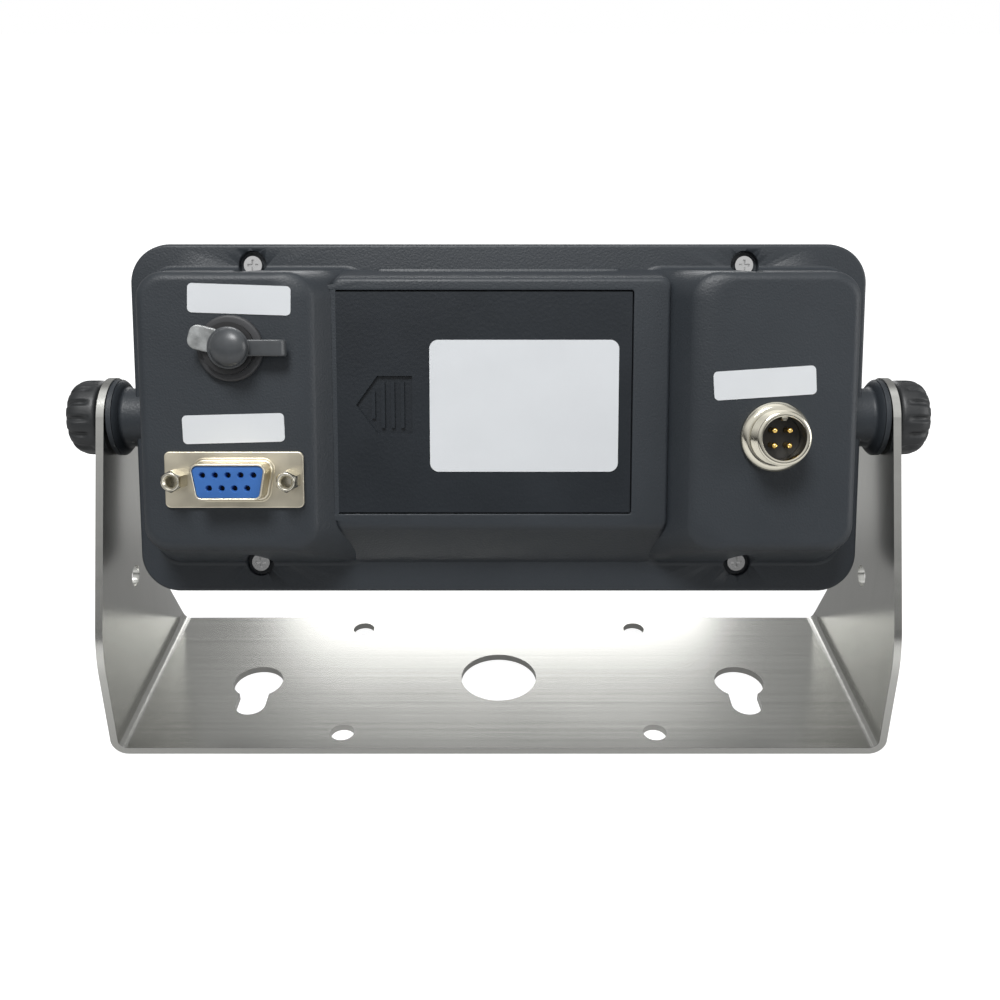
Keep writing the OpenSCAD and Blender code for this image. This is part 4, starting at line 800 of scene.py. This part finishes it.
def shell_path(inset, corner_steps=9, side_steps=8):
    """Closed path of the D shape, wide side up, at an inset from its outer line: straight runs
    between four corner arcs, where the two sides slope in by the slant toward the bottom."""
    k, r = SERIAL, SERIAL["corner"]
    h = k["height"] / 2
    drop = (2 * h - 2 * r) * math.tan(k["slant"])
    tx, lx = k["top"] / 2 - r, k["top"] / 2 - r - drop
    rad, side = max(r - inset, 0.15), math.pi + k["slant"]
    spans = [((lx, r - h), -QUARTER, -k["slant"]), ((tx, h - r), -k["slant"], QUARTER),
             ((-tx, h - r), QUARTER, side), ((-lx, r - h), side, 3 * QUARTER)]
    t = np.linspace(0, 1, side_steps, endpoint=False)[1:, None]
    arcs = []
    for (cx, cz), a0, a1 in spans:
        a = np.linspace(a0, a1, corner_steps)
        arcs.append(np.stack([cx + rad * np.cos(a), cz + rad * np.sin(a)], axis=1))
    pts = []
    for arc, after in zip(arcs, arcs[1:] + arcs[:1]):
        pts += [arc, arc[-1] + (after[0] - arc[-1]) * t]
    return np.concatenate(pts) * MM


def shell_skin(rows):
    """Skin through D shapes, each given by its inset and its depth."""
    return loft([level(shell_path(inset), y) for inset, y in rows])


class INDICATOR_OT_serial_connector(bpy.types.Operator):
    """Serial connector: flange with the drawn D shell, drilled insulator and hexagonal posts"""
    bl_idname = "indicator.serial_connector"
    bl_label = "Serial connector"

    def execute(self, context):
        plate_y, face_y = 21.8, 27.15
        edge = [row((-15.4, 15.4, -6.25, 6.25), y, 1.2, inset, (40, 14, 8)) for y, inset in
                ((21.02, 0.0), (21.6, 0.0), (21.72, 0.04), (21.79, 0.13), (plate_y, 0.25))]
        posts = np.array([[-POST_X, 0.0], [POST_X, 0.0]]) * MM
        plate = drilled(edge[-1][:, [0, 2]], plate_y, posts, 1.45 * MM, cut=[shell_path(-0.95)])
        rows = [(-0.75 - 0.2 * math.cos(a), plate_y + 0.16 * math.sin(a))
                for a in np.linspace(0.0, math.pi, 9)]
        rows += [(-0.55 * (1 - math.sin(a)), plate_y + 0.55 * (1 - math.cos(a))) for a in quarter(6)]
        rows += [(0.0, 27.2)]
        rows += [(0.225 - 0.225 * math.cos(a), 27.35 + 0.22 * math.sin(a))
                 for a in np.linspace(0.0, math.pi, 8)]
        rows += [(0.45, 26.8), (0.45, 21.5)]
        piece("serial_shell", [loft(edge), plate, shell_skin(rows)], "tin", "case",
              ["serial_flange"], 35.0, SERIAL_AT)

        holes = np.array([((i - (4 - line) / 2) * 2.77, (0.5 - line) * 2.84) for line in (0, 1)
                          for i in range(5 - line)]) * MM
        body = shell_skin([(0.47, 21.2), (0.47, 27.0), (0.56, 27.12), (0.7, face_y)])
        well = turned([(face_y, 0.8), (27.1, 0.74), (26.7, 0.56), (26.2, 0.55), (22.0, 0.55)], 28)
        parts = [body, drilled(shell_path(0.7), face_y, holes, 0.8 * MM)] + [moved(well, *c) for c in holes]
        piece("serial_face", parts, "blue", "case", ["serial_insulator"], 35.0, SERIAL_AT)

        corner, steps = POST_HALF / math.cos(math.pi / 6), 72
        ang = np.linspace(0, 2 * math.pi, steps, endpoint=False)
        hexagon = POST_HALF / np.cos((ang + math.pi / 6) % (math.pi / 3) - math.pi / 6)
        rings = [(y, np.minimum(hexagon, cap)) for y, cap in
                 ((21.82, corner), (26.3, corner), (26.6, 2.34), (26.85, 2.16), (27.05, 2.05),
                  (27.22, 1.96), (27.3, 1.84), (27.3, 1.62), (27.22, 1.5), (27.1, 1.42))]
        rings += [(27.0 - i * 0.635 - dy, np.full(steps, r)) for i in range(6)
                  for dy, r in ((0.0, 1.42), (0.28, 1.18), (0.36, 1.18))]
        post = loft([level(circle(steps) * r[:, None] * MM, y) for y, r in rings], cap_last=True)
        piece("serial_posts", [moved(post, *c) for c in posts], "post", "case",
              ["serial_jack_screws"], 28.0, SERIAL_AT)
        return {"FINISHED"}


# Dust cap of the power socket

def ribbon(path, width, thick):
    """A flat band with rounded edges carried along a planar path of (x, y) points in mm: at each
    point the section's four rounded corners lie along the path's normal and along Z."""
    path = path * MM
    along = np.gradient(path, axis=0)
    along /= np.linalg.norm(along, axis=1)[:, None]
    normal = np.stack([-along[:, 1], along[:, 0]], axis=1)
    w, t = width * MM / 2, thick * MM / 2
    ring = rounded_path(-w, w, -t, t, t * 0.84, 4, 2, 5)
    x, y = (path[:, None, i] + normal[:, None, i] * ring[None, :, 1] for i in (0, 1))
    z = np.broadcast_to(ring[None, :, 0], x.shape)
    return loft(list(np.stack([x, y, z], axis=-1)), cap_first=True, cap_last=True)


def strap_path(x_start, y_start, steps=14):
    """Straight run out to the bending line, then a quarter turn about it."""
    r = abs(STRAP_Y - y_start)
    line = np.stack([np.linspace(x_start, STRAP_FOLD, steps), np.full(steps, y_start)], axis=1)
    a = quarter(steps)
    way = 1.0 if STRAP_Y > y_start else -1.0
    turn = np.stack([STRAP_FOLD - r * np.sin(a), y_start + way * r * (1 - np.cos(a))], axis=1)
    return np.concatenate([line, turn])


class INDICATOR_OT_dust_cap(bpy.types.Operator):
    """Rubber cap on the power socket: ring, domed cap with its pull tab, and the strap"""
    bl_idname = "indicator.dust_cap"
    bl_label = "Dust cap"

    def execute(self, context):
        ring = turned([(21.03, 3.6), (21.03, 6.8), (21.1, 7.05), (21.3, 7.2), (22.1, 7.2), (22.35, 7.12),
                       (22.52, 6.9), (22.58, 6.6), (22.58, 4.1), (22.5, 3.75), (22.3, 3.6),
                       (21.03, 3.6)], 72)
        piece("cap_ring", [ring, ribbon(strap_path(-6.0, 22.6), 3.4, 0.5)], "rubber", "case",
              ["jack_cap_ring"], 40.0, POWER_AT)

        foot, waist, radius = 24.25, 25.9, 4.18
        profile = [(foot, 3.85), (foot, 4.4), (24.32, 4.52), (24.5, 4.56), (25.0, 4.56), (25.12, 4.5),
                   (25.2, 4.36), (25.24, 4.2), (25.34, 4.1), (25.55, 4.12), (waist, radius)]
        profile += [(waist + 2.6 * math.sin(a), radius * math.cos(a) ** 0.9)
                    for a in np.linspace(0.08, QUARTER, 16)[:-1]]
        dome, faces = turned(profile + [(waist + 2.6, 0.0)], 64)
        dome[:, 0] -= LEAN_SHARE * (dome[:, 1] - foot * MM)
        piece("cap_dome", [(dome, faces), ribbon(strap_path(-3.9, 24.68), 3.6, 0.8)], "cap", "jack_cap",
              ["jack_cap"], 40.0, POWER_AT)

        rows = [row((1.8 - inset, 8.5, -2.0, 3.4), y, 1.9 - inset, inset, (16, 8, 14)) for y, inset in
                ((24.3, 0.45), (24.32, 0.2), (24.42, 0.06), (24.6, 0.0), (24.86, 0.06), (24.98, 0.2),
                 (25.02, 0.45), (25.02, 1.2))]
        v, faces = loft(rows, cap_first=True, cap_last=True)
        x, z = v[:, 0] / MM, v[:, 2] / MM
        bead = np.exp(-((x - 8.2) ** 2 + z ** 2) / 3.0)
        v[:, 1] += (0.035 * np.clip(x - 4.0, 0.0, None) ** 1.6 + 0.12 * bead * (v[:, 1] > 24.7 * MM)) * MM
        c, n = math.cos(TAB_TURN), math.sin(TAB_TURN)
        v = np.stack([v[:, 0] * c - v[:, 2] * n, v[:, 1], v[:, 0] * n + v[:, 2] * c], axis=1)
        # The tab's light finish is a painted sheen, not a different rubber.
        piece("cap_tab", [(v, faces)], "tab", "jack_cap", (), 40.0, POWER_AT)
        return {"FINISHED"}


# Keys and display

def key_marks():
    """Plain signs for the six keys, in mm: closed loops, and bands between two loops."""
    wheel = (circle(40) * 1.9, circle(40) * 1.45)

    def bar(x0, x1, z0, z1):
        return rounded_path(x0, x1, z0, z1, 0.12, 2, 2, 3)

    tri = np.array([[-1.7, -1.1], [1.7, -1.1], [0.0, 1.5]])
    return {
        1: [wheel, bar(-0.24, 0.24, 0.3, 2.5)],
        2: [wheel, bar(-3.4, -2.4, -0.22, 0.22), bar(2.4, 3.4, -0.22, 0.22)],
        3: [bar(-2.2, 2.2, 0.9, 1.35), bar(-0.24, 0.24, -1.7, 1.2), bar(-2.2, 2.2, -1.9, -1.45)],
        4: [tri],
        5: [tri * np.array([1, -1])],
        6: [bar(-2.4, 2.4, -1.9, -1.45), bar(-2.4, 2.4, -0.22, 0.22), bar(-2.4, 2.4, 1.45, 1.9)],
    }


def print_part(shape, thick=0.05, face=-20.97):
    """A thin raised print out of one loop, or a band between two, toward the front."""
    if isinstance(shape, tuple):
        outer, inner = shape
        return loft([level(outer * MM, face), level(outer * MM, face - thick),
                     level(inner * MM, face - thick), level(inner * MM, face)])
    return loft([level(shape * MM, face), level(shape * MM, face - thick)], cap_last=True)


class INDICATOR_OT_keys(bpy.types.Operator):
    """Six crowned keys with plain printed signs"""
    bl_idname = "indicator.keys"
    bl_label = "Keys"

    def execute(self, context):
        crown, soft, shoulder = settings("indicator_pieces").key_crown / MM, 0.35, -20.3
        counts = (16, 8, 8)
        rows = [row(KEY_EDGE, y, 1.5, inset, counts)
                for y, inset in ((-16.8, -1.3), (-17.7, -1.3), (-17.7, 0.0), (shoulder, 0.0))]
        for a in quarter(6):
            inset = soft * (1 - math.cos(a))
            y = shoulder - (shoulder - KEY_TOP - crown) * math.sin(a)
            rows.append(row(KEY_EDGE, y, 1.5 - inset, inset, counts))
        for k in (0.25, 0.5, 0.75, 0.93):
            inset = soft + k * (KEY_EDGE[3] - soft)
            rows.append(row(KEY_EDGE, KEY_TOP + crown * (1 - k) ** 2, 1.2 * (1 - k) + 0.05, inset, counts))
        cap = loft(rows, cap_first=True, cap_last=True)
        for i, marks in key_marks().items():
            place = ((i - 3.5) * KEY_STEP, 0.0, KEY_Z)
            piece(f"key_cap_{i}", [cap], "key", f"key_{i}", [f"key_{i}"], 50.0, place)
            piece(f"key_sign_{i}", [mirrored(print_part(m)) for m in marks], "key_print", f"key_{i}",
                  place=place)
        return {"FINISHED"}


class INDICATOR_OT_display(bpy.types.Operator):
    """Segments of the display, lit for the reading and dark elsewhere with a faint painted glow, and its
    printed frame
    """
    bl_idname = "indicator.display"
    bl_label = "Display"

    def execute(self, context):
        digits, dots = [], set()
        for ch in settings("indicator_pieces").reading:
            if ch == ".":
                dots.add(len(digits) - 1)
            else:
                digits.append(ch)
        digits = (digits + [" "] * 6)[:6]
        rise, width = 8.8, 11.0
        places = {"a": (0, rise, 0), "g": (0, 0, 0), "d": (0, -rise, 0),
                  "f": (-width / 2, rise / 2, 1), "b": (width / 2, rise / 2, 1),
                  "e": (-width / 2, -rise / 2, 1), "c": (width / 2, -rise / 2, 1)}
        slant = math.tan(math.radians(6.0))
        on, off = [], []
        for n, ch in enumerate(digits):
            shapes = []
            for key, (x, z, upright) in places.items():
                half = (rise if upright else width) / 2 - 0.4
                bar = np.array([[-half, 0], [1.2 - half, -1.2], [half - 1.2, -1.2], [half, 0],
                                [half - 1.2, 1.2], [1.2 - half, 1.2]])
                bar = bar[:, ::-1] * np.array([1, -1]) if upright else bar
                shapes.append((bar + np.array([x, z]), key in SEGMENTS[ch]))
            shapes.append((circle(24) * 1.1 + np.array([width / 2 + 2.2, -8.9]), n in dots))
            for q, lit in shapes:
                q[:, 0] = (q[:, 0] + q[:, 1] * slant) * 0.96 + (n - 2.5) * 18.0
                part = loft([level(q * MM, -15.62), level(q * MM, -15.86)], cap_first=True, cap_last=True)
                (on if lit else off).append(part)
        for name, parts, look, replaced in (("segments_lit", on, "lit", ["display_digits"]),
                                            ("segments_dark", off, "unlit", [])):
            piece(name, parts, look, "case", replaced, place=(0.0, 0.0, 13.0))
        lines = []
        for edge, corner, inset, inner in (((-56.3, 56.3, -1.3, 27.3), 2.6, -0.9, 3.4),
                                           ((-78.0, 78.0, -33.3, 31.9), 4.0, -0.5, 4.4)):
            lines.append(loft([row(edge, -19.99, corner, 0.0, (20, 10, 8)),
                               row(edge, -19.99, inner, inset, (20, 10, 8))]))
        piece("film_print", lines, "frame_print", "case")
        return {"FINISHED"}


# Floor, light and camera

def white_floor():
    """A floor that glows white for the camera, a little less near the object. In mirrors it
    glows by a smaller share, which grows toward the camera's side."""
    n = 24
    g = np.linspace(-4.0, 4.0, n)
    x, y = np.meshgrid(g, g, indexing="ij")
    verts = np.stack([x, y, np.zeros_like(x) - 0.0002], axis=-1).reshape(-1, 3)
    mesh = bpy.data.meshes.new("floor")
    mesh.from_pydata(verts.tolist(), [], ring_faces(n, n, closed=False).tolist())
    floor = bpy.data.objects.new("floor", mesh)
    bpy.context.scene.collection.objects.link(floor)
    mat, tree, shader, place = start_material(
        "White floor", {"Roughness": 0.9, "Specular IOR Level": 0.1, "Emission Color": WHITE})
    noise = node(tree, "TexNoise", {"Scale": 30.0})
    wire(tree, (place, "Object", noise, "Vector"))
    shades(tree, noise.outputs["Fac"], (0.30,) * 3, (0.32,) * 3, shader.inputs["Base Color"])
    path = node(tree, "LightPath")
    seen = node(tree, "Math", operation="MULTIPLY_ADD")
    far = node(tree, "VectorMath", operation="LENGTH")
    lift = span(tree, 0.12, 0.9, 0.96, 1.0)
    glow = node(tree, "Math", operation="MULTIPLY")
    near = node(tree, "SeparateXYZ")
    ahead = span(tree, 0.03, 0.10, 0.2, 0.7)
    wire(tree, (place, "Object", near, 0), (near, "Y", ahead, "Value"), (ahead, "Result", seen, 1),
         (path, "Is Glossy Ray", seen, 0), (path, "Is Camera Ray", seen, 2),
         (place, "Object", far, 0), (far, "Value", lift, "Value"), (lift, "Result", glow, 0),
         (seen, 0, glow, 1), (glow, 0, shader, "Emission Strength"))
    mesh.materials.append(mat)


def studio_sky(scene, s):
    """An even sky for soft light, white for the camera. Gloss and glass mirror another one: on
    the camera's side it brightens from the horizon up, on the other side only overhead."""
    world = bpy.data.worlds.new("Studio") if scene.world is None else scene.world
    scene.world = world
    world.use_nodes = True
    tree = world.node_tree
    tree.nodes.clear()
    soft = node(tree, "Background", {"Color": WHITE, "Strength": s.sky})
    white = node(tree, "Background", {"Color": WHITE})
    path, where, split = node(tree, "LightPath"), node(tree, "TexCoord"), node(tree, "SeparateXYZ")
    gloss, strength, seen = (node(tree, "Math", operation="MAXIMUM") for _ in range(3))
    dim = node(tree, "Math", operation="MULTIPLY")
    glow = node(tree, "Math", {1: s.mirror_sky}, "MULTIPLY")
    front = span(tree, 0.06, 0.50, 0.08, 2.4)
    over = span(tree, 0.80, 0.95, 1.0, 3.6)
    ahead = span(tree, -0.1, 0.1, 0.0, 1.0)
    pick, mix, out = node(tree, "Mix"), node(tree, "MixShader"), node(tree, "OutputWorld")
    wire(tree, (where, "Generated", split, 0), (split, "Z", front, "Value"), (split, "Z", over, "Value"),
         (split, "Y", ahead, "Value"), (ahead, "Result", pick, "Factor"), (over, "Result", pick, "A"),
         (front, "Result", pick, "B"), (pick, "Result", glow, 0), (glow, 0, dim, 1),
         (path, "Is Glossy Ray", gloss, 0), (path, "Is Transmission Ray", gloss, 1), (gloss, 0, dim, 0),
         (dim, 0, strength, 0), (path, "Is Camera Ray", strength, 1), (strength, 0, white, "Strength"),
         (gloss, 0, seen, 0), (path, "Is Camera Ray", seen, 1), (seen, 0, mix, "Fac"),
         (soft, 0, mix, 1), (white, 0, mix, 2), (mix, 0, out, "Surface"))


class INDICATOR_OT_stage(bpy.types.Operator):
    """White floor, even sky, three softboxes and the camera"""
    bl_idname = "indicator.stage"
    bl_label = "Stage"

    def execute(self, context):
        s = settings("indicator_stage")
        scene = context.scene
        white_floor()
        studio_sky(scene, s)
        for name, place, aim_z, power, wide, high in (
                ("Key softbox", (0.14, 0.40, 1.0), 0.07, s.key_lamp, 0.34, 0.34),
                ("Side softbox", (-0.80, 0.22, 0.30), 0.07, s.side_lamp, 0.5, 0.5),
                ("Back panel", (0.0, -0.90, 0.37), 0.03, s.back_panel, 0.54, 0.42)):
            lamp = bpy.data.lights.new(name, "AREA")
            lamp.shape = "RECTANGLE"
            lamp.energy = power
            lamp.size = wide
            lamp.size_y = high
            obj = bpy.data.objects.new(name, lamp)
            scene.collection.objects.link(obj)
            obj.location = place
            aim = Vector((0.0, 0.0, aim_z)) - Vector(place)
            obj.rotation_euler = aim.to_track_quat("-Z", "Y").to_euler()
            obj.visible_camera = False

        cam = bpy.data.cameras.new("Camera")
        cam.lens = s.lens
        cam.sensor_width = 36.0
        cam.clip_start = 0.01
        obj = bpy.data.objects.new("Camera", cam)
        scene.collection.objects.link(obj)
        obj.location = (s.camera_x, s.camera_y, s.camera_z)
        obj.rotation_euler = (QUARTER - s.pitch, 0.0, math.pi)
        scene.camera = obj
        scene.view_settings.view_transform = "Standard"
        return {"FINISHED"}


STEPS = ("finishes", "rear_cover", "front_cover", "knobs", "sensor_connector", "serial_connector",
         "dust_cap", "keys", "display", "stage")
GROUPS = {"indicator_case": CaseSizes, "indicator_pieces": PieceSizes,
          "indicator_colours": FinishColours, "indicator_stage": StageSetup}


class INDICATOR_PT_panel(bpy.types.Panel):
    """Lists the indicator's pieces and their settings"""
    bl_label = "Indicator"
    bl_idname = "INDICATOR_PT_panel"
    bl_space_type = "VIEW_3D"
    bl_region_type = "UI"
    bl_category = "Indicator"

    def draw(self, context):
        for name in STEPS:
            self.layout.operator(f"indicator.{name}")
        for group in GROUPS:
            box = self.layout.box()
            props = getattr(context.scene, group)
            for key in props.bl_rna.properties.keys():
                if key not in ("rna_type", "name"):
                    box.prop(props, key)


CLASSES = (CaseSizes, PieceSizes, FinishColours, StageSetup, INDICATOR_OT_finishes,
           INDICATOR_OT_rear_cover, INDICATOR_OT_front_cover, INDICATOR_OT_knobs,
           INDICATOR_OT_sensor_connector, INDICATOR_OT_serial_connector, INDICATOR_OT_dust_cap,
           INDICATOR_OT_keys, INDICATOR_OT_display, INDICATOR_OT_stage, INDICATOR_PT_panel)


def register():
    for cls in CLASSES:
        bpy.utils.register_class(cls)
    for name, cls in GROUPS.items():
        setattr(bpy.types.Scene, name, PointerProperty(type=cls))


def unregister():
    for name in GROUPS:
        delattr(bpy.types.Scene, name)
    for cls in reversed(CLASSES):
        bpy.utils.unregister_class(cls)


def main():
    register()
    for name in STEPS:
        getattr(bpy.ops.indicator, name)()


if __name__ == "__main__":
    main()
